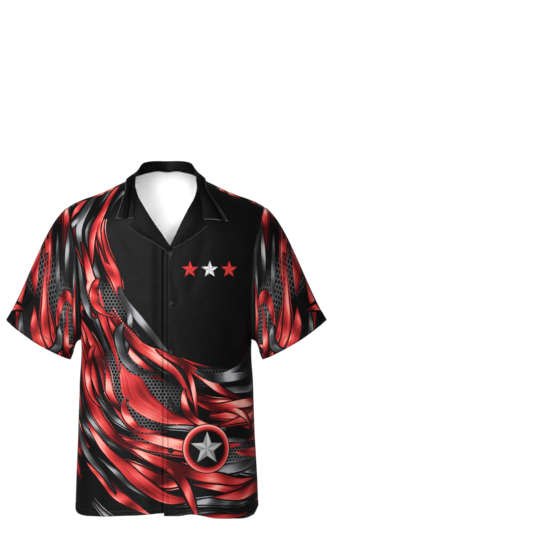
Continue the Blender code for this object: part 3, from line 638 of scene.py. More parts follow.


# a sheet of cloth from a grid: points, their places in the flat cut, ways out, tones of painted light and
# shade, and ways from the hem
def clothPiece(name, node, grid, cloth, lining=None, thickness=0.0007, seamless=False, hemUp=0.0):
    points, flat, out, tone, fromHem = grid
    rows, columns = points.shape[:2]
    hem = fromHem < hemUp
    if (gridNormals(points) * out).sum() < 0:
        points, flat, tone, hem = (values[:, ::-1] for values in (points, flat, tone, hem))
    inHem = hem.ravel()
    flat = flat.reshape(-1, 2)
    mesh = bmesh.new()
    bmesh.ops.create_grid(mesh, x_segments=columns - 1, y_segments=rows - 1, size=1)
    # the tone layer holds painted highlights above 0 and painted shade below 0
    toneLayer = mesh.verts.layers.float.new("tone")
    for vertex, place, value in zip(mesh.verts, points.reshape(-1, 3), tone.ravel()):
        vertex.co = place
        vertex[toneLayer] = value
    layer = mesh.loops.layers.uv.new("cut")
    mesh.verts.index_update()
    for face in mesh.faces:
        face.smooth = True
        # where the hem is turned up, the inner side shows the cloth too
        face.material_index = 2 * all(inHem[vertex.index] for vertex in face.verts)
        for loop in face.loops:
            loop[layer].uv = flat[loop.vert.index]
    if seamless:
        bmesh.ops.remove_doubles(mesh, verts=mesh.verts, dist=1e-5)
    looks = [cloth, lining, cloth] if lining else [cloth]
    piece = fromMesh(name, mesh, *looks)
    wall = piece.modifiers.new("Cloth", "SOLIDIFY")
    wall.thickness = thickness
    wall.offset = -1
    wall.material_offset = min(1, len(looks) - 1)
    wall.material_offset_rim = 0
    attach(piece, "root")
    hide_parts(node)


# in materials a Value stands for a number that a node gives, and a Place for a vector or a colour: Python's
# signs between them, and the words below, add the maths nodes
class Value:
    kind = "ShaderNodeMath"

    def __init__(self, tree, socket):
        self.tree = tree
        self.socket = socket

    def maths(self, operation, *others):
        node = addNode(self.tree, self.kind, self, *others, operation=operation)
        return type(self)(self.tree, node.outputs[0])

    def __rsub__(self, number):
        return Value(self.tree, addNode(self.tree, self.kind, number, self, operation="SUBTRACT").outputs[0])

    def clamped(self):
        return self.atLeast(0.0).atMost(1.0)

    __add__ = partialmethod(maths, "ADD")
    __sub__ = partialmethod(maths, "SUBTRACT")
    __mul__ = partialmethod(maths, "MULTIPLY")
    __truediv__ = partialmethod(maths, "DIVIDE")
    __pow__ = partialmethod(maths, "POWER")
    __lt__ = partialmethod(maths, "LESS_THAN")
    __gt__ = partialmethod(maths, "GREATER_THAN")
    __abs__ = partialmethod(maths, "ABSOLUTE")
    timesPlus = partialmethod(maths, "MULTIPLY_ADD")
    atLeast = partialmethod(maths, "MAXIMUM")
    atMost = partialmethod(maths, "MINIMUM")
    fract = partialmethod(maths, "FRACT")
    floor = partialmethod(maths, "FLOOR")
    round = partialmethod(maths, "ROUND")
    root = partialmethod(maths, "SQRT")
    sine = partialmethod(maths, "SINE")
    cosine = partialmethod(maths, "COSINE")
    angleOver = partialmethod(maths, "ARCTAN2")


class Place(Value):
    kind = "ShaderNodeVectorMath"
    fraction = partialmethod(Value.maths, "FRACTION")

    def length(self):
        return Value(self.tree, self.maths("LENGTH").socket.node.outputs["Value"])


def plug(socket, value):
    if isinstance(value, Value):
        value.tree.links.new(value.socket, socket)
    else:
        socket.default_value = value


def addNode(tree, kind, *values, **settings):
    node = tree.nodes.new(kind)
    for name, setting in settings.items():
        setattr(node, name, setting)
    for socket, value in zip([s for s in node.inputs if s.enabled], values):
        plug(socket, value)
    return node


def parts(vector):
    node = addNode(vector.tree, "ShaderNodeSeparateXYZ", vector)
    return [Value(vector.tree, socket) for socket in node.outputs]


def joined(x, y, z):
    tree = next(value.tree for value in (x, y, z) if isinstance(value, Value))
    return Place(tree, addNode(tree, "ShaderNodeCombineXYZ", x, y, z).outputs[0])


def chosen(share, first, second, kind="VECTOR"):
    node = addNode(share.tree, "ShaderNodeMix", share, first, second, data_type=kind)
    return Place(share.tree, [s for s in node.outputs if s.enabled][0])


def blend(share, *colours):
    return chosen(share, *((*c, 1) if isinstance(c, tuple) else c for c in colours), kind="RGBA")


def ramp(share, stops):
    node = addNode(share.tree, "ShaderNodeValToRGB", share)
    first, last = node.color_ramp.elements
    first.position, first.color = stops[0][0], (*stops[0][1], 1)
    last.position, last.color = stops[-1][0], (*stops[-1][1], 1)
    for place, colour in stops[1:-1]:
        node.color_ramp.elements.new(place).color = (*colour, 1)
    return Place(share.tree, node.outputs[0])


def noise(point, scale, detail=2.0, roughness=0.5, dimensions="2D", kind=Value):
    values = point, scale, detail, roughness
    node = addNode(point.tree, "ShaderNodeTexNoise", *values, noise_dimensions=dimensions)
    return kind(point.tree, node.outputs["Color" if kind is Place else "Fac"])


def chance(tree, value, dimensions, output):
    return addNode(tree, "ShaderNodeTexWhiteNoise", value, noise_dimensions=dimensions).outputs[output]


# the print: ink is (place across a leaf, place along it, hue); hue 0 is the ground, 1 to 2 a red leaf, 2 to 3
# a steel one
printSizes = {"cell": 0.0040, "hole": 0.80, "border": 0.0034, "line": 0.0012, "thinnest": 0.0004,
              "eddyScale": 6.0, "eddyReach": 0.060, "curlGrowth": 0.7}
printColours = {  # each from its shade to its gleam
    "ground": (0.0019, 0.0019, 0.0021),
    "red": [(0.0, (0.055, 0.002, 0.003)), (0.22, (0.19, 0.008, 0.010)), (0.45, (0.42, 0.022, 0.024)),
            (0.66, (0.56, 0.055, 0.052)), (0.84, (0.66, 0.17, 0.145)), (1.0, (0.74, 0.34, 0.29))],
    "steel": [(0.0, (0.008, 0.008, 0.009)), (0.40, (0.035, 0.036, 0.038)), (0.68, (0.095, 0.097, 0.102)),
              (1.0, (0.30, 0.305, 0.315))],
    "mesh": (0.130, 0.132, 0.138),
    "cell": (0.0030, 0.0030, 0.0033),
    "dot": (0.52, 0.12, 0.11),
    "middleStar": (0.52, 0.52, 0.54),
    "sideStar": (0.46, 0.028, 0.028),
}


def inkGroup(name, draw, numbers):  # a node group round one of the three functions that draw leaves
    tree = bpy.data.node_groups.new(name, "ShaderNodeTree")
    for socket in ("point", "ink", "centre", *numbers):
        kind = "NodeSocketFloat" if socket in numbers else "NodeSocketVector"
        tree.interface.new_socket(socket, in_out="INPUT", socket_type=kind)
    tree.interface.new_socket("ink", in_out="OUTPUT", socket_type="NodeSocketVector")
    given = tree.nodes.new("NodeGroupInput").outputs
    x, y, _ = parts(Place(tree, given["point"]) - Place(tree, given["centre"]))
    drawn = draw(x, y, Place(tree, given["ink"]), *(Value(tree, given[socket]) for socket in numbers))
    plug(tree.nodes.new("NodeGroupOutput").inputs[0], drawn)
    return tree


# one leaf over what is there, with a dark gap round it
def laidOver(ink, distance, width, wanted, along, hue, echo=0.0):
    border, line = printSizes["border"], printSizes["line"]
    wanted = (width > printSizes["thinnest"]) * wanted
    away = abs(distance)
    # some leaves have a thin line that runs along outside the gap
    outer = (away < width + (border + line)) * echo
    ink = chosen(outer * wanted, ink, joined(0.5, along, hue))
    ink = chosen((away < width + border) * wanted, ink, (0.0, 0.0, 0.0))
    return chosen((away < width) * wanted, ink, joined(distance / width.atLeast(0.0001), along, hue))


leafForm = {
    "waves": 5.0,                # the streams' sways in one turn
    "gap": 0.22,                 # the longest empty stretch, as a share of a leaf's length
    "bluntness": (0.7, 0.75),    # what chance adds, and the least
    "widths": (0.65, 0.40),
    "unechoed": 0.55,            # share of leaves with no thin line beside them
    "root": 0.62,                # powers by which flames and curls widen from their root
    "curlRoot": 0.70,
    # the branch of a flame: its start along the spine, its length, hook and width as shares
    "branch": {"start": 0.16, "share": 0.58, "hook": 0.35, "width": 0.62},
}


# streams of long pointed leaves that run round a centre, one after another in each lane
def drawStream(x, y, ink, swirl, pitch, inner, outer, start, end, length, widest, steel, seed, sway, lean):
    angle = (y.angleOver(x) / (2 * pi)).fract() * (2 * pi)
    reach = joined(x, y, 0.0).length() + angle.timesPlus(leafForm["waves"], seed).sine() * sway
    cell = angle.timesPlus(swirl, reach) / pitch
    lane = cell.floor()
    middle = (lane + 0.5) * pitch
    laneStart = Value(x.tree, chance(x.tree, seed.timesPlus(7.13, lane), "1D", "Value"))
    travel = angle * middle / length + laneStart
    number = travel.floor()
    first, second, third = parts(Place(x.tree, chance(x.tree, joined(lane, number, seed), "3D", "Color")))
    gap = first * leafForm["gap"]
    held = ((travel - number - gap) / (1.0 - gap)).clamped()
    swell = (held * 4.0 * (1.0 - held)) ** third.timesPlus(*leafForm["bluntness"])
    width = swell * widest * second.timesPlus(*leafForm["widths"])
    drift = (held - 0.5) * (lean * (third - 0.5))
    off = (cell - lane - 0.5 + drift) * pitch
    width = width.atMost((0.5 - abs(drift)) * pitch)
    wanted = (middle > inner) * (middle < outer) * (angle > start) * (angle < end)
    hue = first.timesPlus(0.9, 1.02) + (second < steel)
    return laidOver(ink, off, width, wanted, held, hue, (third * 7.0).fract() > leafForm["unechoed"])


# one flame: a pointed leaf on a bent spine, with a smaller one that branches off it
def drawFlame(x, y, ink, turn, length, widest, bend, hook, branch, hue):
    cosine, sine = turn.cosine(), turn.sine()
    along = (x * cosine + y * sine) / length
    sideways = y * cosine - x * sine
    mainBend, mainHook = bend, hook

    def leaf(start, share, bend, hook, widest):
        held = ((along - start) / share).clamped()
        rise = held * (held * held).timesPlus(hook, held * bend)
        slope = held * (held * 3.0).timesPlus(hook, bend * 2.0)
        off = sideways - rise * (length * share)
        if start:  # the branch starts on the main spine
            rooted = mainHook.timesPlus(start**3, mainBend * start**2)
            lean = mainHook.timesPlus(3 * start**2, mainBend * (2 * start))
            off = off - (lean * held).timesPlus(share, rooted) * length
            slope = slope + lean
        off = off / slope.timesPlus(slope, 1.0).root()
        return off, held ** leafForm["root"] * (1.0 - held) * 2.0 * widest, held

    form = leafForm["branch"]
    off, width, held = leaf(0.0, 1.0, bend, hook, widest)
    side, sideWidth, sideHeld = leaf(form["start"], form["share"], branch, branch * form["hook"],
                                     widest * form["width"])
    sideWidth = sideWidth * (abs(branch) > 0.001)
    # whichever leaf a point is deeper in
    deeper = sideWidth - abs(side) > width - abs(off)
    off, width, held = parts(chosen(deeper, joined(off, width, held), joined(side, sideWidth, sideHeld)))
    return laidOver(ink, off, width, 1.0, held, hue)


# one curl: a crescent that winds outwards from its blunt end to its point
def drawCurl(x, y, ink, radius, start, sweep, way, widest, hue):
    turned = ((y.angleOver(x) - start) * way / (2 * pi)).fract() * (2 * pi)
    held = (turned / sweep).atMost(1.0)
    off = joined(x, y, 0.0).length() - radius * held.timesPlus(printSizes["curlGrowth"], 1.0)
    width = held ** leafForm["curlRoot"] * (1.0 - held) * 2.4 * widest
    return laidOver(ink, off, width, turned < sweep, held, hue)


def honeycomb(point, size):  # 1 on the mesh's bars, 0 in its holes
    tall = 1.732

    def holeAt(shift):
        moved = (point + (shift * size, shift * size * tall, 0.0)) / (size * 2, size * 2 * tall, 1.0)
        x, y, _ = parts(abs(moved.fraction() - (0.5, 0.5, 0.0)) * (2.0, 2 * tall, 0.0))
        return x.atLeast(x.timesPlus(0.5, y * (tall / 2)))

    return holeAt(0.0).atMost(holeAt(1.0)) > printSizes["hole"]


def starShape(point, centre, radius, innerShare=0.42):  # mask and facet of a five-pointed star
    away = point - centre
    x, y, _ = parts(away)
    fifth = x.angleOver(y) / (2 * pi / 5)
    offset = fifth - fifth.round()
    angle = abs(offset) * (2 * pi / 5)
    reach = away.length()
    pointX, pointY = reach * angle.cosine(), reach * angle.sine()
    innerX, innerY = (innerShare * radius * side for side in (math.cos(pi / 5), math.sin(pi / 5)))
    edge = (pointX - radius) * innerY - pointY * (innerX - radius)
    return edge < 0.0, offset > 0.0


leafLook = {
    "slant": (0.14, 3.6, 0.22),  # gleams: their slant across and along the leaf, and their change across it
    "brush": (6.0, 3.0),         # brushed lines across and along the leaf
    "seeds": (90, 60),           # so that no two leaves gleam or are brushed alike
    "gleam": (2.3, 0.47),        # contrast of the gleams, and the tone between them
    "brushed": 0.60,
    "rim": (0.74, 0.90),         # the lit band along a leaf's edge, as shares of its half width
    "rimLight": 0.18,
    "edgeShade": 0.35,
    "tips": (0.45, 2.4),         # the lightest place along a leaf, and how dark the tips are
    "patches": 7.0,              # scale and contrast of the honeycomb's patches
}


def inkedColour(point, ink, design):
    across, along, hue = parts(ink)
    own = hue.fract()
    # gleams lie aslant across each leaf, brushed lines run down it
    gleamSeed, brushSeed = leafLook["seeds"]
    slantAcross, slantAlong, turnAcross = leafLook["slant"]
    slant = across.timesPlus(slantAcross, along.timesPlus(slantAlong, own * gleamSeed))
    gleam = noise(joined(slant, across * turnAcross, 0.0), 1.0, 0.4)
    brushAcross, brushAlong = leafLook["brush"]
    line = across.timesPlus(brushAcross, own * brushSeed)
    fine = noise(joined(line, along * brushAlong, 0.0), 1.0, 2.0, 0.6)
    tone = (gleam - 0.5).timesPlus(*leafLook["gleam"]) + (fine - 0.5) * leafLook["brushed"]
    # a lit edge above and a shaded one below, and darker tips
    edge = abs(across)
    rimFrom, rimTo = leafLook["rim"]
    tone = tone + (edge > rimFrom) * (edge < rimTo) * (across * leafLook["rimLight"])
    tone = tone - (edge > rimTo) * leafLook["edgeShade"]
    lightest, darkness = leafLook["tips"]
    tone = tone - abs(along - lightest) ** 3.0 * darkness
    leaf = blend(hue > 1.999, ramp(tone, printColours["red"]), ramp(tone, printColours["steel"]))
    # patches of the ground are filled with honeycomb
    low, high = design["zone"]
    reach = (point - (*design["centre"], 0.0)).length()
    fade = noise(point, leafLook["patches"], 0.0).timesPlus(leafLook["patches"], design["mesh"]).clamped()
    fade = fade * (((high - low) / 2 - abs(reach - (low + high) / 2)) * 30.0).clamped()
    fade = fade * ((design["meshTop"] - parts(point)[1]) * 25.0).clamped()
    bars = honeycomb(point, printSizes["cell"])
    ground = blend(fade, printColours["ground"], blend(bars, printColours["cell"], printColours["mesh"]))
    return blend(hue > 0.5, ground, leaf)


def dotted(point, x, y, turn, length, spacing, radius, curve):  # a row of dots that get smaller
    x, y, _ = parts(point - (x, y, 0.0))
    cosine, sine = math.cos(turn), math.sin(turn)
    along = x * cosine + y * sine
    off = y * cosine - x * sine - along * along * curve
    reach = joined(((along / spacing).fract() - 0.5) * spacing, off, 0.0).length()
    return (reach < (1.0 - along / length) * radius) * ((along > 0.0) * (along < length))


# shares of the radius: the dark disc, the ring's middle and half width, where its tones start, the star
ringForm = {"disc": 1.04, "middle": 0.88, "halfWidth": 0.115, "tonesFrom": 0.76, "star": 0.70}


def medallion(colour, point, centre, radius):  # a star in a ring, plain metal colours
    away = point - (*centre, 0.0)
    x, y, _ = parts(away)
    reach = away.length()
    shade = (y + x * -0.6) / radius
    colour = blend(reach < radius * ringForm["disc"], colour, printColours["ground"])
    start = ringForm["tonesFrom"]
    ringTone = (reach - radius * start) / (radius * (1 - start)) + shade * 0.12
    ring = abs(reach - radius * ringForm["middle"]) < radius * ringForm["halfWidth"]
    colour = blend(ring, colour, ramp(ringTone, printColours["red"]))
    star, facet = starShape(point, (*centre, 0.0), radius * ringForm["star"])
    return blend(star, colour, grey(shade.timesPlus(0.10, facet.timesPlus(0.16, 0.18))))


def starRow(colour, point, centre, count, pitch, radius):
    x, y, _ = parts(point - (*centre, 0.0))
    half = (count - 1) / 2
    number = (x / pitch).round().atLeast(-half).atMost(half)
    star, facet = starShape(joined(x - number * pitch, y, 0.0), (0.0, 0.0, 0.0), radius)
    plain = blend(abs(number) < 0.5, printColours["sideStar"], printColours["middleStar"])
    return blend(star, colour, plain * grey(facet.timesPlus(0.45, 0.55)))


def grey(tone):
    return joined(tone, tone, tone)


def newMaterial(name):
    made = bpy.data.materials.new(name)
    made.use_nodes = True
    return made, made.node_tree, made.node_tree.nodes["Principled BSDF"]


def cutPoint(tree):
    return Place(tree, addNode(tree, "ShaderNodeUVMap", uv_map="cut").outputs[0])


def objectPoint(tree):
    return Place(tree, tree.nodes.new("ShaderNodeTexCoord").outputs["Object"])


satin = {
    "roughness": 0.52,
    "roughnessVaries": 0.14,
    "specular": 0.098,
    "weavePitch": 0.00045,
    "slubs": (60.0, 900.0, 1.0),
    "crumple": 34,
    "raised": (0.10, 0.25, 3.6),     # how far weave, slubs and crumple stand out
    "shaded": (0.05, 0.16, 0.92),    # how far weave and slubs change the tone, and the tone with neither
    "dent": 5.0,
    # how far painted shade darkens the hollows, and how much painted highlight lightens folded edges
    "hollow": 0.80,
    "rub": 0.016,
    "bump": 0.30,
    "bumpDepth": 0.0011,
}


def satinCloth(tree, shader, point, colour, settings):
    x, y, _ = parts(point)
    pitch = 2 * pi / settings["weavePitch"]
    weave = (x * pitch).sine() * (y * pitch).sine()
    slub = noise(point * settings["slubs"], 1.0)
    crumple = noise(point, settings["crumple"], 3.0, 0.55)
    # painted light and shade: folded edges get a little painted highlight, and the hollows beside them are
    # darkened with painted shade
    rubbed = Value(tree, addNode(tree, "ShaderNodeAttribute", attribute_name="tone").outputs["Fac"])
    hollow = rubbed.atMost(0.0)
    weaveUp, slubUp, crumpleUp = settings["raised"]
    height = hollow.timesPlus(settings["dent"], weave * weaveUp + (slub * slubUp + crumple * crumpleUp))
    weaveTone, slubTone, plain = settings["shaded"]
    tone = slub.timesPlus(slubTone, weave.timesPlus(weaveTone, plain))
    tone = tone * hollow.timesPlus(settings["hollow"], 1.0)
    bump = tree.nodes.new("ShaderNodeBump")
    plug(bump.inputs["Strength"], settings["bump"])
    plug(bump.inputs["Distance"], settings["bumpDepth"])
    plug(bump.inputs["Height"], height)
    plug(shader.inputs["Normal"], Place(tree, bump.outputs[0]))
    plug(shader.inputs["Base Color"], colour * grey(tone) + grey(rubbed.atLeast(0.0) * settings["rub"]))
    varies = settings["roughnessVaries"]
    plug(shader.inputs["Roughness"], slub.timesPlus(varies, settings["roughness"] - varies / 2))
    plug(shader.inputs["Specular IOR Level"], settings["specular"])


# streams are laid first: swirl, pitch, inner and outer reach, start and end round the centre, length, half
# width, share of steel, seed, sway, lean. Then the flames: place round the centre, reach from it, way (1 with
# the stream, -1 against it), lean, length, half width, bend, hook, branch, hue. Then the curls: x, y, radius,
# start, sweep, way, half width, hue. Rows of dots: x, y, turn, length, spacing, radius, curve
frontPrint = {
    "centre": (0.150, -0.150),
    "zone": (0.250, 0.480),
    "mesh": -3.4,
    "meshTop": -0.19,
    "streams": [
        (-0.012, 0.032, 0.235, 0.54, 2.65, 5.60, 0.190, 0.0130, 0.45, 3.0, 0.012, 0.55),
        (-0.018, 0.052, 0.255, 0.55, 2.75, 5.50, 0.270, 0.0165, 0.28, 8.0, 0.018, 0.45),
    ],
    "flames": [
        (2.60, 0.300, 1, 0.00, 0.22, 0.0100, 0.35, -0.10, 0.35, 1.25),
        (2.66, 0.340, 1, 0.06, 0.24, 0.0110, 0.40, -0.15, -0.35, 2.30),
        (2.72, 0.385, 1, 0.10, 0.24, 0.0115, 0.40, -0.15, 0.35, 1.62),
        (3.06, 0.330, 1, 0.10, 0.30, 0.0150, 0.62, -0.38, -0.55, 1.15),
        (3.42, 0.265, 1, 0.05, 0.22, 0.0130, 0.80, -0.55, -0.50, 2.30),
        (3.62, 0.300, 1, 0.02, 0.27, 0.0165, 0.75, -0.50, 0.55, 1.62),
        (4.02, 0.275, 1, 0.00, 0.25, 0.0150, 0.78, -0.55, -0.60, 1.35),
        (4.38, 0.270, 1, 0.05, 0.21, 0.0140, 0.85, -0.60, 0.50, 2.12),
        (4.46, 0.330, 1, 0.05, 0.26, 0.0160, 0.62, -0.42, -0.55, 1.81),
        (3.95, 0.420, -1, 0.00, 0.27, 0.0165, -0.42, 0.30, -0.50, 1.27),
        (3.60, 0.350, -1, -0.05, 0.24, 0.0130, -0.40, 0.30, 0.45, 2.20),
        (4.25, 0.480, 1, -0.05, 0.28, 0.0170, 0.12, 0.20, -0.45, 1.48),
        (4.70, 0.440, 1, -0.05, 0.24, 0.0160, 0.20, 0.15, 0.45, 1.92),
    ],
    "curls": [
        (-0.100, -0.215, 0.052, 2.8, 1.9, 1, 0.0120, 1.42),
        (-0.130, -0.390, 0.050, 2.6, 2.1, 1, 0.0125, 1.66),
        (-0.040, -0.335, 0.050, 2.8, 2.0, 1, 0.0110, 2.25),
        (-0.020, -0.450, 0.052, 3.1, 2.0, 1, 0.0125, 1.30),
        (0.085, -0.445, 0.048, 3.2, 2.0, 1, 0.0110, 1.82),
    ],
    "dots": [
        (-0.112, -0.270, -1.05, 0.170, 0.0062, 0.0021, 1.3),
        (-0.010, -0.505, -0.50, 0.150, 0.0062, 0.0021, 1.0),
    ],
    "medallion": ((0.092, -0.575), 0.052),
    "stars": {"centre": (0.098, -0.188), "count": 3, "pitch": 0.043, "radius": 0.0185},
}
backPrint = {
    "centre": (0.36, -0.30),
    "zone": (0.10, 0.42),
    "mesh": -3.4,
    "meshTop": 0.10,
    "streams": [
        (0.010, 0.032, 0.05, 0.50, 1.60, 4.40, 0.19, 0.0130, 0.40, 2.0, 0.012, 0.5),
        (-0.012, 0.052, 0.10, 0.46, 1.70, 4.30, 0.27, 0.0165, 0.28, 11.0, 0.014, 0.4),
    ],
    "flames": [
        (4.20, 0.360, -1, 0.10, 0.30, 0.0160, -0.30, 0.35, -0.50, 1.33),
        (3.80, 0.300, -1, 0.05, 0.27, 0.0150, -0.45, 0.40, 0.55, 1.72),
        (3.40, 0.260, -1, 0.00, 0.25, 0.0150, -0.50, 0.45, -0.55, 2.22),
        (2.60, 0.300, 1, 0.00, 0.26, 0.0150, 0.35, -0.45, 0.60, 1.15),
    ],
    "curls": [
        (0.085, -0.120, 0.050, 2.2, 2.0, 1, 0.0115, 1.35),
        (0.135, -0.300, 0.052, 2.8, 2.0, 1, 0.0120, 1.62),
        (0.070, -0.420, 0.050, 2.4, 2.0, 1, 0.0110, 2.20),
        (0.110, -0.560, 0.052, 2.8, 2.0, 1, 0.0120, 1.25),
    ],
    "dots": [(0.045, -0.330, -1.20, 0.150, 0.0062, 0.0021, 0.6)],
    "medallion": ((0.0, -0.225), 0.068),
    "stars": {"centre": (0.0, -0.085), "count": 5, "pitch": 0.052, "radius": 0.0210},
}
sleevePrint = {
    "centre": (0.10, -0.34),
    "zone": (0.12, 0.40),
    "mesh": -3.8,
    "meshTop": 0.10,
    "streams": [
        (0.012, 0.034, 0.09, 0.44, 0.2, 3.4, 0.15, 0.0112, 0.55, 4.0, 0.012, 0.5),
        (-0.014, 0.058, 0.11, 0.42, 0.2, 3.2, 0.20, 0.0120, 0.35, 9.0, 0.012, 0.4),
    ],
    "flames": [
        (0.75, 0.200, 1, 0.00, 0.17, 0.0122, 0.45, -0.35, -0.55, 1.25),
        (1.55, 0.190, 1, 0.05, 0.16, 0.0122, 0.50, -0.45, 0.55, 1.72),
        (2.45, 0.230, 1, 0.00, 0.16, 0.0122, 0.45, -0.40, -0.55, 1.45),
        (2.70, 0.330, -1, 0.10, 0.17, 0.0125, -0.45, 0.40, 0.50, 1.62),
        (2.20, 0.150, -1, 0.00, 0.15, 0.0120, -0.55, 0.40, 0.55, 2.20),
    ],
    "curls": [
        (-0.175, -0.070, 0.044, 0.9, 2.1, -1, 0.0110, 1.40),
        (-0.100, -0.150, 0.042, 2.4, 2.1, 1, 0.0105, 2.20),
        (0.060, -0.070, 0.044, 0.8, 2.1, -1, 0.0110, 1.55),
        (0.170, -0.110, 0.044, 2.4, 2.1, 1, 0.0110, 1.35),
    ],
}


def printedCloth(name, design, mirrored=False):
    made, tree, shader = newMaterial(name)
    point = drawn = cutPoint(tree)
    if mirrored:
        across, up, _ = parts(point)
        drawn = joined(abs(across), up, 0.0)
    # the leaves lie on a cloth that slow eddies carry a little way
    eddies = noise(drawn, printSizes["eddyScale"], 0.6, kind=Place)
    carried = drawn + (eddies - (0.5, 0.5, 0.5)) * (printSizes["eddyReach"], printSizes["eddyReach"], 0.0)
    x, y = design["centre"]
    leaves = [(streamTree, (x, y), numbers) for numbers in design["streams"]]
    for place, out, way, lean, *numbers in design["flames"]:
        start = x + out * math.cos(place), y + out * math.sin(place)
        leaves.append((flameTree, start, (place + way * pi / 2 + lean, *numbers)))
    leaves += [(curlTree, curl[:2], curl[2:]) for curl in design["curls"]]
    ink = (0.0, 0.0, 0.0)
    for group, centre, numbers in leaves:
        node = addNode(tree, "ShaderNodeGroup", carried, ink, (*centre, 0.0), *numbers, node_tree=group)
        ink = Place(tree, node.outputs[0])
    colour = inkedColour(drawn, ink, design)
    for row in design.get("dots", ()):
        colour = blend(dotted(drawn, *row), colour, printColours["dot"])
    if "medallion" in design:
        colour = medallion(colour, drawn, *design["medallion"])
    if "stars" in design:
        colour = starRow(colour, point, **design["stars"])
    satinCloth(tree, shader, point, colour, satin)
    return made


def plainCloth(name, colour, **changes):
    made, tree, shader = newMaterial(name)
    plain = tree.nodes.new("ShaderNodeRGB").outputs[0]
    plain.default_value = (*colour, 1)
    satinCloth(tree, shader, cutPoint(tree), Place(tree, plain), dict(satin, **changes))
    return made


def threadLook(name, colour):
    made, tree, shader = newMaterial(name)
    twist = noise(objectPoint(tree), 2600, 1.0, dimensions="3D")
    plug(shader.inputs["Base Color"], ramp(twist, [(0.3, tuple(c * 0.6 for c in colour)), (0.7, colour)]))
    plug(shader.inputs["Roughness"], 0.55)
    return made


def buttonLook(name, dark, pale):
    made, tree, shader = newMaterial(name)
    cloud = noise(objectPoint(tree), 210, 3.0, dimensions="3D")
    scratch = noise(objectPoint(tree), 900, 2.0, dimensions="3D")
    plug(shader.inputs["Base Color"], ramp(cloud, [(0.35, dark), (0.65, pale)]))
    plug(shader.inputs["Roughness"], scratch.timesPlus(0.2, 0.42))
    plug(shader.inputs["Specular IOR Level"], 0.14)
    return made


streamNumbers = ("swirl", "pitch", "inner", "outer", "start", "end", "length", "width", "steel", "seed",
                 "sway", "lean")
streamTree = inkGroup("stream", drawStream, streamNumbers)
flameTree = inkGroup("flame", drawFlame, ("turn", "length", "width", "bend", "hook", "branch", "hue"))
curlTree = inkGroup("curl", drawCurl, ("radius", "start", "sweep", "way", "width", "hue"))
frontCloth = printedCloth("frontPrint", frontPrint)
backCloth = printedCloth("backPrint", backPrint, mirrored=True)
sleeveCloth = printedCloth("sleevePrint", sleevePrint)
# the black cloth takes a stronger painted highlight on its folded edges and darker painted shade in its
# hollows
blackCloth = plainCloth("blackCloth", printColours["ground"], specular=0.066, rub=0.060, hollow=0.90)
whiteInside = plainCloth("whiteInside", (0.90, 0.90, 0.905), roughness=0.75, bump=0.08)
blackThread = threadLook("blackThread", (0.030, 0.030, 0.033))
buttonPlastic = buttonLook("buttonPlastic", (0.0070, 0.0070, 0.0078), (0.0170, 0.0170, 0.0185))
print("materials made")

# fronts
hems = {"width": 0.012, "step": 0.0005, "groove": 0.0004, "placketWidth": 0.0088, "placketStep": 0.0004,
        "placketGroove": 0.0036, "underPlacket": 0.0022, "seamTuck": 0.0010, "tuckWidth": 0.0022,
        "pucker": 0.00022, "placketPucker": 0.00018, "turnUnder": 0.0022}


def hemRelief(way, along, width, step, seed):
    return bandRelief(way, width, step, hems["groove"]) + pucker(along, way - width, hems["pucker"], seed)


def hemTone(way, width, rub=0.25):  # painted shade along the stitching, painted highlight at the fold
    return rub * near(way, 0.0, 0.0015) - 0.5 * near(way, width, 0.0013)


def seamTuck(way):
    return hems["seamTuck"] * near(way, 0.0, hems["tuckWidth"])


# painted shade along a seam
def seamTone(way):
    return 0.7 * near(way, 0.0, 0.0016)


def dressFront(side, edge):
    base = frontPanel(side, edge)
    away = outward(base)
    x, _, z = np.moveaxis(base, -1, 0)
    fromHem, fromEdge = pathLength(base), pathLength(base, 1)
    toSeam, toShoulder = fromEdge[:, -1:] - fromEdge, fromHem[-1:] - fromHem
    fromPlacket = fromEdge - hems["placketWidth"]
    placket = bandRelief(fromEdge, hems["placketWidth"], hems["placketStep"], hems["groove"])
    relief = creaseRelief(smallCreases, base) + hemRelief(fromHem, fromEdge, hems["width"], hems["step"], 2.0)
    relief = relief + placket * smoothStep(-0.135, -0.150, z) - seamTuck(toSeam) - seamTuck(toShoulder)
    relief = relief + pucker(fromHem, fromPlacket, hems["placketPucker"], 1.0)
    normals = facing(gridNormals(base), away)
    points = raisedBy(relief, base, normals)
    # painted highlight on the open front edge and beside the side seam, painted shade along the placket
    # stitching, hem stitching and side seam
    open = smoothStep(-0.135, -0.155, z)
    tone = open * (0.55 * near(fromEdge, 0.0, 0.0013) - 0.45 * near(fromPlacket, 0.0012, 0.0014))
    tone = tone + hemTone(fromHem, hems["width"]) - seamTone(toSeam) + 0.20 * near(toSeam, 0.0045, 0.0022)
    if side < 0:  # this front lies under the other's edge: it sinks beneath it, and a painted shadow darkens it just beside that edge
        past = x - leftEdge["across"][0]
        sink = hems["underPlacket"] * smoothStep(-0.030, -0.012, x)
        sink = sink + hems["placketGroove"] * near(past, 0.0024, 0.0032)
        points = points - away * sink[..., None]
        tone = tone - 1.2 * near(past, 0.0002, 0.0018) * smoothStep(-0.158, -0.166, z)
    middle = side * edgeAcross(edge, base[:, 0, 2])
    flat = np.stack([middle[:, None] + side * fromEdge, z], -1)
    turned = turnedIn((points, flat, away, tone, fromHem), normals, start=(1, 1), end=(1, 1))
    return base, points, away, turned


fronts = {}
for side, edge, name in ((-1, rightEdge, "right"), (1, leftEdge, "left")):
    base, points, away, turned = dressFront(side, edge)
    fronts[side] = {"name": name, "base": base, "points": points, "away": away}
    clothPiece(name + "FrontSheet", name + "_front", turned, frontCloth, whiteInside,
               hemUp=hems["width"])
print("fronts made")

# back
backBase = np.concatenate([backHalf(-1)[:, :0:-1], backHalf(1)], axis=1)


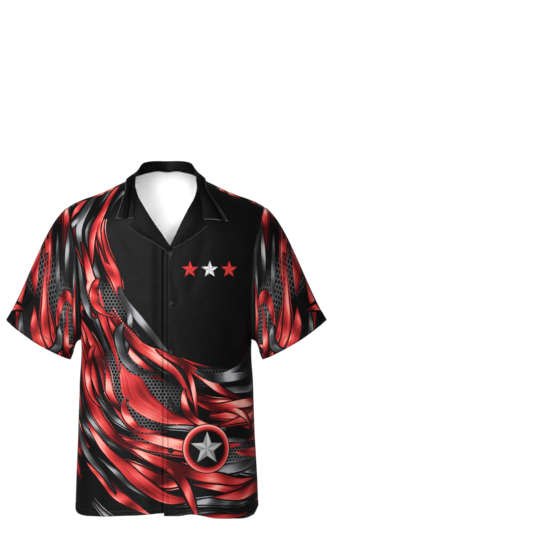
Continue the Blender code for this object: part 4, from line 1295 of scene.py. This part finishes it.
def dressBack(base):
    away = outward(base)
    fromHem, across = pathLength(base), pathLength(base, 1)
    toSeam, toTop = np.minimum(across, across[:, -1:] - across), fromHem[-1:] - fromHem
    relief = creaseRelief(smallCreases, base) + hemRelief(fromHem, across, hems["width"], hems["step"], 4.0)
    relief = relief - seamTuck(toSeam) - seamTuck(toTop)
    normals = facing(gridNormals(base), away)
    points = raisedBy(relief, base, normals)
    # down the back the print is measured along the cloth, so that it doesn't smear over the shoulders
    halfway = base.shape[1] // 2
    underarm = np.searchsorted(grain["rowStops"], block["rows"][0])
    up = block["underarm"] + fromHem - fromHem[underarm]
    flat = np.stack([across - across[:, halfway : halfway + 1], up], -1)
    # painted shade along the hem stitching and the seams
    tone = hemTone(fromHem, hems["width"], rub=0) - seamTone(toSeam) - seamTone(toTop)
    # the neckline isn't turned under: it goes up into the collar
    columns = abs(np.linspace(-1, 1, base.shape[1])) * block["backColumns"]
    turning = np.where((toTop < 0.004) & (columns < block["necklineColumns"]), -0.15, 1.0)
    turned = turnedIn((points, flat, away, tone, fromHem), normals, start=(1, 1), end=(1, 1), turning=turning)
    return points, away, turned


backPoints, backAway, backTurned = dressBack(backBase)
clothPiece("backSheet", "back", backTurned, backCloth, whiteInside, hemUp=hems["width"])
print("back made")


def dressSleeve(side, front):
    base, flat = sleeveGrid(side, front, backBase)
    away = base - base[:, :-1].mean(axis=1, keepdims=True)
    length = pathLength(base)
    toHem = length[-1:] - length
    relief = hemRelief(toHem, flat[..., 0], sleeveShape["hemWidth"], sleeveShape["hemStep"], 5.0)
    relief = relief - seamTuck(length) * smoothStep(0, 0.001, length + 0.0002)
    relief = relief + 0.0006 * near(length, 0.005, 0.004)
    normals = gridNormals(base)
    normals[:, 0] = normals[:, -1] = unit(normals[:, 0] + normals[:, -1])
    normals = facing(normals, away)
    points = raisedBy(relief, base, normals)
    # painted highlight on the ridge beside the armhole seam and at the hem's fold, painted shade along the
    # seam and the hem stitching
    tone = 0.3 * near(length, 0.0040, 0.0022) - seamTone(length) + hemTone(toHem, sleeveShape["hemWidth"])
    turned = turnedIn((points, flat, away, tone, toHem), normals, start=(1, 0), end=(1, 0))
    turned[0][0] += unit(points[0] - points[3]) * 0.0025  # the seam allowance goes on under the panels
    return points, turned


sleeves = {}
for side, front in fronts.items():
    sleeves[side], turned = dressSleeve(side, front["base"])
    clothPiece(front["name"] + "SleeveSheet", front["name"] + "_sleeve", turned, sleeveCloth,
               whiteInside, seamless=True, hemUp=sleeveShape["hemWidth"])
print("sleeves made")

# collar and lapels
collarLook = {"thickness": 0.0011, "lapelThickness": 0.0009, "stitchIn": 0.0024,
              "allowance": (0.0065, 0.0003, 0.0002),  # its width, step and groove
              # a long hollow down each leaf: share of the leaf's width at the shoulder, at the notch, half
              # width, depth
              "hollows": {-1: (0.40, 0.52, 0.17, -0.0032), 1: (0.72, 0.80, 0.10, -0.0026)}}
collarBase = np.concatenate([collarHalf(-1)[:0:-1], collarHalf(1)], axis=0)


def rimRelief(toRim):  # the seam allowance inside shows, and the edge stitching pulls in
    band = bandRelief(toRim, *collarLook["allowance"])
    return band - 0.0003 * near(toRim, collarLook["stitchIn"], 0.0010)


def dressCollar(base):
    fromNeck, length = pathLength(base, 1), pathLength(base)
    toEdge, toEnd = fromNeck[:, -1:] - fromNeck, np.minimum(length, length[-1:] - length)
    toRim = np.minimum(toEdge, toEnd)
    relief = rimRelief(toRim)
    share = fromNeck / fromNeck[:, -1:]
    cells = np.linspace(-7, 7, base.shape[0])[:, None]
    # painted highlights along the collar's outer edge and its short ends
    tone = 1.1 * near(toEdge, 0.0, 0.0016) * smoothStep(2.5, 3.5, abs(cells)) + 0.9 * near(toEnd, 0.0, 0.0016)
    tone = tone * smoothStep(0.0, 0.002, fromNeck)
    # a painted highlight line where the stand's facing ends
    tone = tone + 0.8 * near(cells, 3.30, 0.035) * smoothStep(0.024, 0.020, fromNeck)
    for side, (top, low, halfWidth, depth) in collarLook["hollows"].items():
        down = np.clip((side * cells - 4.2) / 2.8, 0, 1)
        hollow = near(share, top + (low - top) * down, halfWidth) * smoothStep(3.8, 4.8, side * cells)
        relief = relief + depth * hollow * np.sin(pi * share)
        # painted shade down each hollow
        tone = tone - 0.95 * hollow * smoothStep(0.0, 0.003, toEdge)
    # the fall faces away from the neck: its normals at the outer edge point away from the form
    normals = facing(gridNormals(base), outward(base), slice(-4, None))
    points = raisedBy(relief, base, normals)
    flat = np.stack([length - length[-1:] / 2, fromNeck], -1)
    return points, flat, normals, tone, toRim


def dressLapel(side, edge):
    base = lapelGrid(side, edge)
    normals = facing(gridNormals(base), outward(base), slice(12, None))
    across, up = pathLength(base, 1), pathLength(base)
    toRim = across[:, -1:] - across
    points = raisedBy(rimRelief(toRim), base, normals)
    # painted highlight along the outer edge
    tone = 0.45 * near(toRim, 0.0, 0.0016)
    if side > 0:  # painted shade of short pulls along the stitched edge
        pulls = smoothStep(0.15, 0.8, np.sin(up * 640 + toRim * 260 + 2.0 * np.sin(up * 90)))
        share = up / up[-1:]
        pulls = pulls * smoothStep(0.18, 0.30, share) * smoothStep(0.92, 0.80, share)
        tone = tone - 0.9 * pulls * near(toRim, 0.0055, 0.0026)
    else:
        # painted shade along the edge stitching
        tone = tone - 0.5 * near(toRim, 0.0050, 0.0020)
    return points, np.stack([across, up], -1), normals, tone, toRim


collarGrid = dressCollar(collarBase)
clothPiece("collarSheet", "collar", collarGrid, blackCloth, thickness=collarLook["thickness"])
lapelGrids = {}
for side, edge in ((-1, rightEdge), (1, leftEdge)):
    name = fronts[side]["name"]
    lapelGrids[side] = dressLapel(side, edge)
    clothPiece(name + "LapelSheet", name + "_lapel", lapelGrids[side], blackCloth,
               thickness=collarLook["lapelThickness"])
print("collar and lapels made")

# buttons: a dished disc with a raised rim and four holes, sewn through
buttons = {"x": 0.0131, "first": -0.1545, "pitch": 0.1060, "count": 5, "radius": 0.0060, "thickness": 0.0026,
           "holeRadius": 0.00075, "holeOut": 0.0016, "offCloth": 0.0004, "sharpFrom": 0.7,
           "thread": (0.0020, 0.00034, 0.00028), "threadSunk": 0.30,
           # out from the middle as a share of the radius, up as a share of half the thickness
           "profile": [(0.0, -1), (0.86, -1), (1, -0.45), (1, 0.35), (0.93, 1), (0.80, 1), (0.70, 0.42),
                       (0.0, 0.30)]}


def buttonMesh():
    mesh = bmesh.new()
    radius, half = buttons["radius"], buttons["thickness"] / 2
    verts = [mesh.verts.new((radius * out, 0, half * up)) for out, up in buttons["profile"]]
    edges = [mesh.edges.new(pair) for pair in zip(verts, verts[1:])]
    bmesh.ops.spin(mesh, geom=verts + edges, cent=(0, 0, 0), axis=(0, 0, 1), angle=2 * pi, steps=48,
                   use_merge=True, use_duplicate=False)
    bmesh.ops.remove_doubles(mesh, verts=mesh.verts, dist=1e-6)
    bmesh.ops.recalc_face_normals(mesh, faces=mesh.faces)
    disc = fromMesh("buttonDisc", mesh)
    cutter = bmesh.new()
    for k in range(4):
        turn = pi / 4 + k * pi / 2
        place = Matrix.Translation(Vector((math.cos(turn), math.sin(turn), 0)) * buttons["holeOut"])
        bmesh.ops.create_cone(cutter, cap_ends=True, segments=14, radius1=buttons["holeRadius"],
                              radius2=buttons["holeRadius"], depth=0.01, matrix=place)
    holes = fromMesh("buttonHoles", cutter)
    cut = disc.modifiers.new("Holes", "BOOLEAN")
    cut.object = holes
    cut.solver = "EXACT"
    made = bpy.data.meshes.new_from_object(disc.evaluated_get(bpy.context.evaluated_depsgraph_get()))
    bpy.data.objects.remove(disc)
    bpy.data.objects.remove(holes)
    return made


def standingOn(place, up):  # a matrix at a place, its z axis along up
    return Matrix.Translation(place) @ Vector(up).to_track_quat("Z", "Y").to_matrix().to_4x4()


def blob(mesh, place, size, rounds=1):
    place = place @ Matrix.Diagonal((*size, 1))
    bmesh.ops.create_icosphere(mesh, subdivisions=rounds, radius=1, matrix=place)


def buttonHeights():
    return [buttons["first"] - buttons["pitch"] * k for k in range(buttons["count"])]


disc = buttonMesh()
for k, height in enumerate(buttonHeights()):
    on, above = (frontSurface(np.array([buttons["x"]]), np.array([height]), [lift])[0] for lift in (0.0, 1.0))
    above = above - on
    raised = block["wall"] / 2 + buttons["offCloth"] + buttons["thickness"] / 2
    place = standingOn(on + above * raised, above)
    data = disc.copy()
    data.transform(place)
    data.shade_smooth()
    data.set_sharp_from_angle(angle=buttons["sharpFrom"])
    data.materials.clear()
    data.materials.append(buttonPlastic)
    piece = placed(f"button{k + 1}", data)
    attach(piece, "root")
    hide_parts(f"button_{k + 1}")
    thread = bmesh.new()
    for lean in (1, -1):  # two short bars over the holes, sunk in the dish
        bar = place @ Matrix.Translation((0, 0, buttons["thickness"] * buttons["threadSunk"]))
        blob(thread, bar @ Matrix.Rotation(lean * pi / 4, 4, "Z"), buttons["thread"], rounds=2)
    sewn = fromMesh(f"buttonThread{k + 1}", thread, blackThread)
    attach(sewn, "root")
print("buttons made")

# stitching: short capsules along lines on the cloth
stitching = {"pitch": 0.0028, "length": 0.0019, "width": 0.00026, "height": 0.00020, "placketTop": -0.150}


def stitchLine(mesh, points, normals):
    run = pathLength(points)
    count = int(run[-1] / stitching["pitch"])

    def at(values, way):
        return Vector([np.interp(way, run, values[:, axis]) for axis in range(3)])

    for k in range(count):
        way = (k + 0.5) * run[-1] / count
        start, end = (at(points, way + half) for half in (-stitching["length"] / 2, stitching["length"] / 2))
        forward = (end - start).normalized()
        sideways = at(normals, way).normalized().cross(forward).normalized()
        up = forward.cross(sideways)
        turn = Matrix((forward, sideways, up)).transposed().to_4x4()
        place = Matrix.Translation((start + end) / 2 + up * stitching["height"] * 0.4) @ turn
        blob(mesh, place, ((end - start).length / 2, stitching["width"], stitching["height"]))


def lineAt(points, normals, way):  # places and normals at one way along each row of a grid
    rows = list(zip(points, normals, pathLength(points, 1)))
    places = [[np.interp(way, run, row[:, axis]) for axis in range(3)] for row, _, run in rows]
    ups = [[np.interp(way, run, normal[:, axis]) for axis in range(3)] for _, normal, run in rows]
    return np.array(places), np.array(ups)


def finishStitches(name, mesh):
    piece = fromMesh(name, mesh, blackThread)
    piece.data.shade_smooth()
    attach(piece, "root")


def panelStitches(name, points, away, hemWidth, placket=False):
    mesh = bmesh.new()
    normals = facing(gridNormals(points), away)
    stitchLine(mesh, *lineAt(points.swapaxes(0, 1), normals.swapaxes(0, 1), hemWidth))
    if placket:
        line, up = lineAt(points, normals, hems["placketWidth"])
        keep = line[:, 2] < stitching["placketTop"]
        stitchLine(mesh, line[keep], up[keep])
    finishStitches(name, mesh)


for side, front in fronts.items():
    name = front["name"] + "FrontStitches"
    panelStitches(name, front["points"], front["away"], hems["width"], placket=side > 0)
panelStitches("backStitches", backPoints, backAway, hems["width"])
for side, front in fronts.items():
    points = sleeves[side][::-1]
    away = points - points[:, :-1].mean(axis=1, keepdims=True)
    panelStitches(front["name"] + "SleeveStitches", points, away, sleeveShape["hemWidth"])

# buttonholes: a slit with close stitches across each side
buttonholes = {"top": 0.0045, "low": -0.0110, "halfWidth": 0.0009, "pitch": 0.0008, "raised": 0.0001,
               "stitch": (0.0008, 0.00030, 0.00022), "slit": (0.00030, 0.0072, 0.00018)}
leftPoints = fronts[1]["points"]
leftNormals = facing(gridNormals(leftPoints), fronts[1]["away"])


def onLeftFront(x, z):
    nearest = np.argmin((leftPoints[..., 0] - x) ** 2 + (leftPoints[..., 2] - z) ** 2)
    place, up = leftPoints.reshape(-1, 3)[nearest], leftNormals.reshape(-1, 3)[nearest]
    y = place[1] - (up[0] * (x - place[0]) + up[2] * (z - place[2])) / up[1]
    return standingOn((x, y, z), up)


holeMesh = bmesh.new()
for height in buttonHeights():
    top, low = height + buttonholes["top"], height + buttonholes["low"]
    for z in np.arange(low, top, buttonholes["pitch"]):
        for side in (-1, 1):
            place = onLeftFront(buttons["x"] + side * buttonholes["halfWidth"], z)
            blob(holeMesh, place @ Matrix.Translation((0, 0, buttonholes["raised"])), buttonholes["stitch"])
    blob(holeMesh, onLeftFront(buttons["x"], (top + low) / 2), buttonholes["slit"], rounds=2)
finishStitches("buttonholeStitches", holeMesh)

collarMesh = bmesh.new()
stitchIn = collarLook["stitchIn"]
collarPoints, collarAway = collarGrid[0], collarGrid[2]
line, up = lineAt(collarPoints[:, ::-1], collarAway[:, ::-1], stitchIn)
alongEdge = pathLength(collarPoints)[:, -1]
keep = (alongEdge > stitchIn) & (alongEdge < alongEdge[-1] - stitchIn)
stitchLine(collarMesh, line[keep], up[keep])
for way in (1, -1):  # the two short ends
    line, up = lineAt(collarPoints[::way].swapaxes(0, 1), collarAway[::way].swapaxes(0, 1), stitchIn)
    acrossEnd = pathLength(line)
    keep = acrossEnd < acrossEnd[-1] - stitchIn
    stitchLine(collarMesh, line[keep], up[keep])
for points, _, away, *_ in lapelGrids.values():
    stitchLine(collarMesh, *lineAt(points[:, ::-1], away[:, ::-1], stitchIn))
finishStitches("collarStitches", collarMesh)
print("stitches made")

# studio: a pale floor, a white room, soft light from the upper left
studio = {
    "cameraPlace": (0.22, -6.514, -0.1815),
    "lens": 200,
    "floorHeight": -1.15,
    "floorColour": (0.80, 0.80, 0.80, 1),
    "room": (0.92, 0.13),  # how bright the room looks beyond the light that it gives, and that light
    # place, target, power, size, and whether the cloth may gleam in it: the one behind would edge its sides
    "softLights": {"keyLight": ((-2.2, -3.4, 1.9), (0, 0, -0.35), 105, 1.4, True),
                   "frontFill": ((-1.3, -4.3, 1.1), (0, 0, -0.35), 180, 1.3, True),
                   "backFill": ((0.9, 4.4, 0.2), (0, 0, -0.40), 150, 2.0, False)},
    # narrow beams that light the lining through the neck: place, target, power, spread
    "neckBeams": {"neckLow": ((0.34, -2.6, 0.16), (-0.040, 0.06, -0.100), 375, 0.105),
                  "neckRight": ((1.15, -2.3, 0.45), (-0.070, 0.06, -0.040), 175, 0.080)},
    "beamSoftness": 0.20,
}


def light(name, kind, place, target, power, glossy):
    data = bpy.data.lights.new(name, kind)
    data.energy = power
    made = placed(name, data)
    made.location = place
    made.rotation_euler = (Vector(target) - Vector(place)).to_track_quat("-Z", "Y").to_euler()
    made.visible_glossy = glossy
    return data


def makeStudio():
    bpy.ops.mesh.primitive_plane_add(size=5, location=(0, 0, studio["floorHeight"]))
    floor = bpy.context.object
    floor.name = "floor"
    look, _, shader = newMaterial("floorPaint")
    plug(shader.inputs["Base Color"], studio["floorColour"])
    plug(shader.inputs["Roughness"], 0.8)
    floor.data.materials.append(look)
    floor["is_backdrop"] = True
    world = bpy.data.worlds.new("room")
    scene.world = world
    world.use_nodes = True
    tree = world.node_tree
    seen = Value(tree, tree.nodes.new("ShaderNodeLightPath").outputs["Is Camera Ray"])
    plug(tree.nodes["Background"].inputs["Strength"], seen.timesPlus(*studio["room"]))
    plug(tree.nodes["Background"].inputs["Color"], (1, 1, 1, 1))
    for name, (place, target, power, size, glossy) in studio["softLights"].items():
        light(name, "AREA", place, target, power, glossy).size = size
    for name, (place, target, power, spread) in studio["neckBeams"].items():
        beam = light(name, "SPOT", place, target, power, False)  # no gleam on the lapels that it passes
        beam.spot_size = spread
        beam.spot_blend = 0.5
        beam.shadow_soft_size = studio["beamSoftness"]
    data = bpy.data.cameras.new("camera")
    data.lens = studio["lens"]
    data.sensor_width = 36
    data.clip_end = 60
    camera = placed("camera", data)
    camera.location = studio["cameraPlace"]
    camera.rotation_euler = (pi / 2, 0, 0)
    scene.camera = camera
    scene.view_settings.view_transform = "Standard"


makeStudio()
print("studio made")

bpy.context.view_layer.update()
low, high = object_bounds()
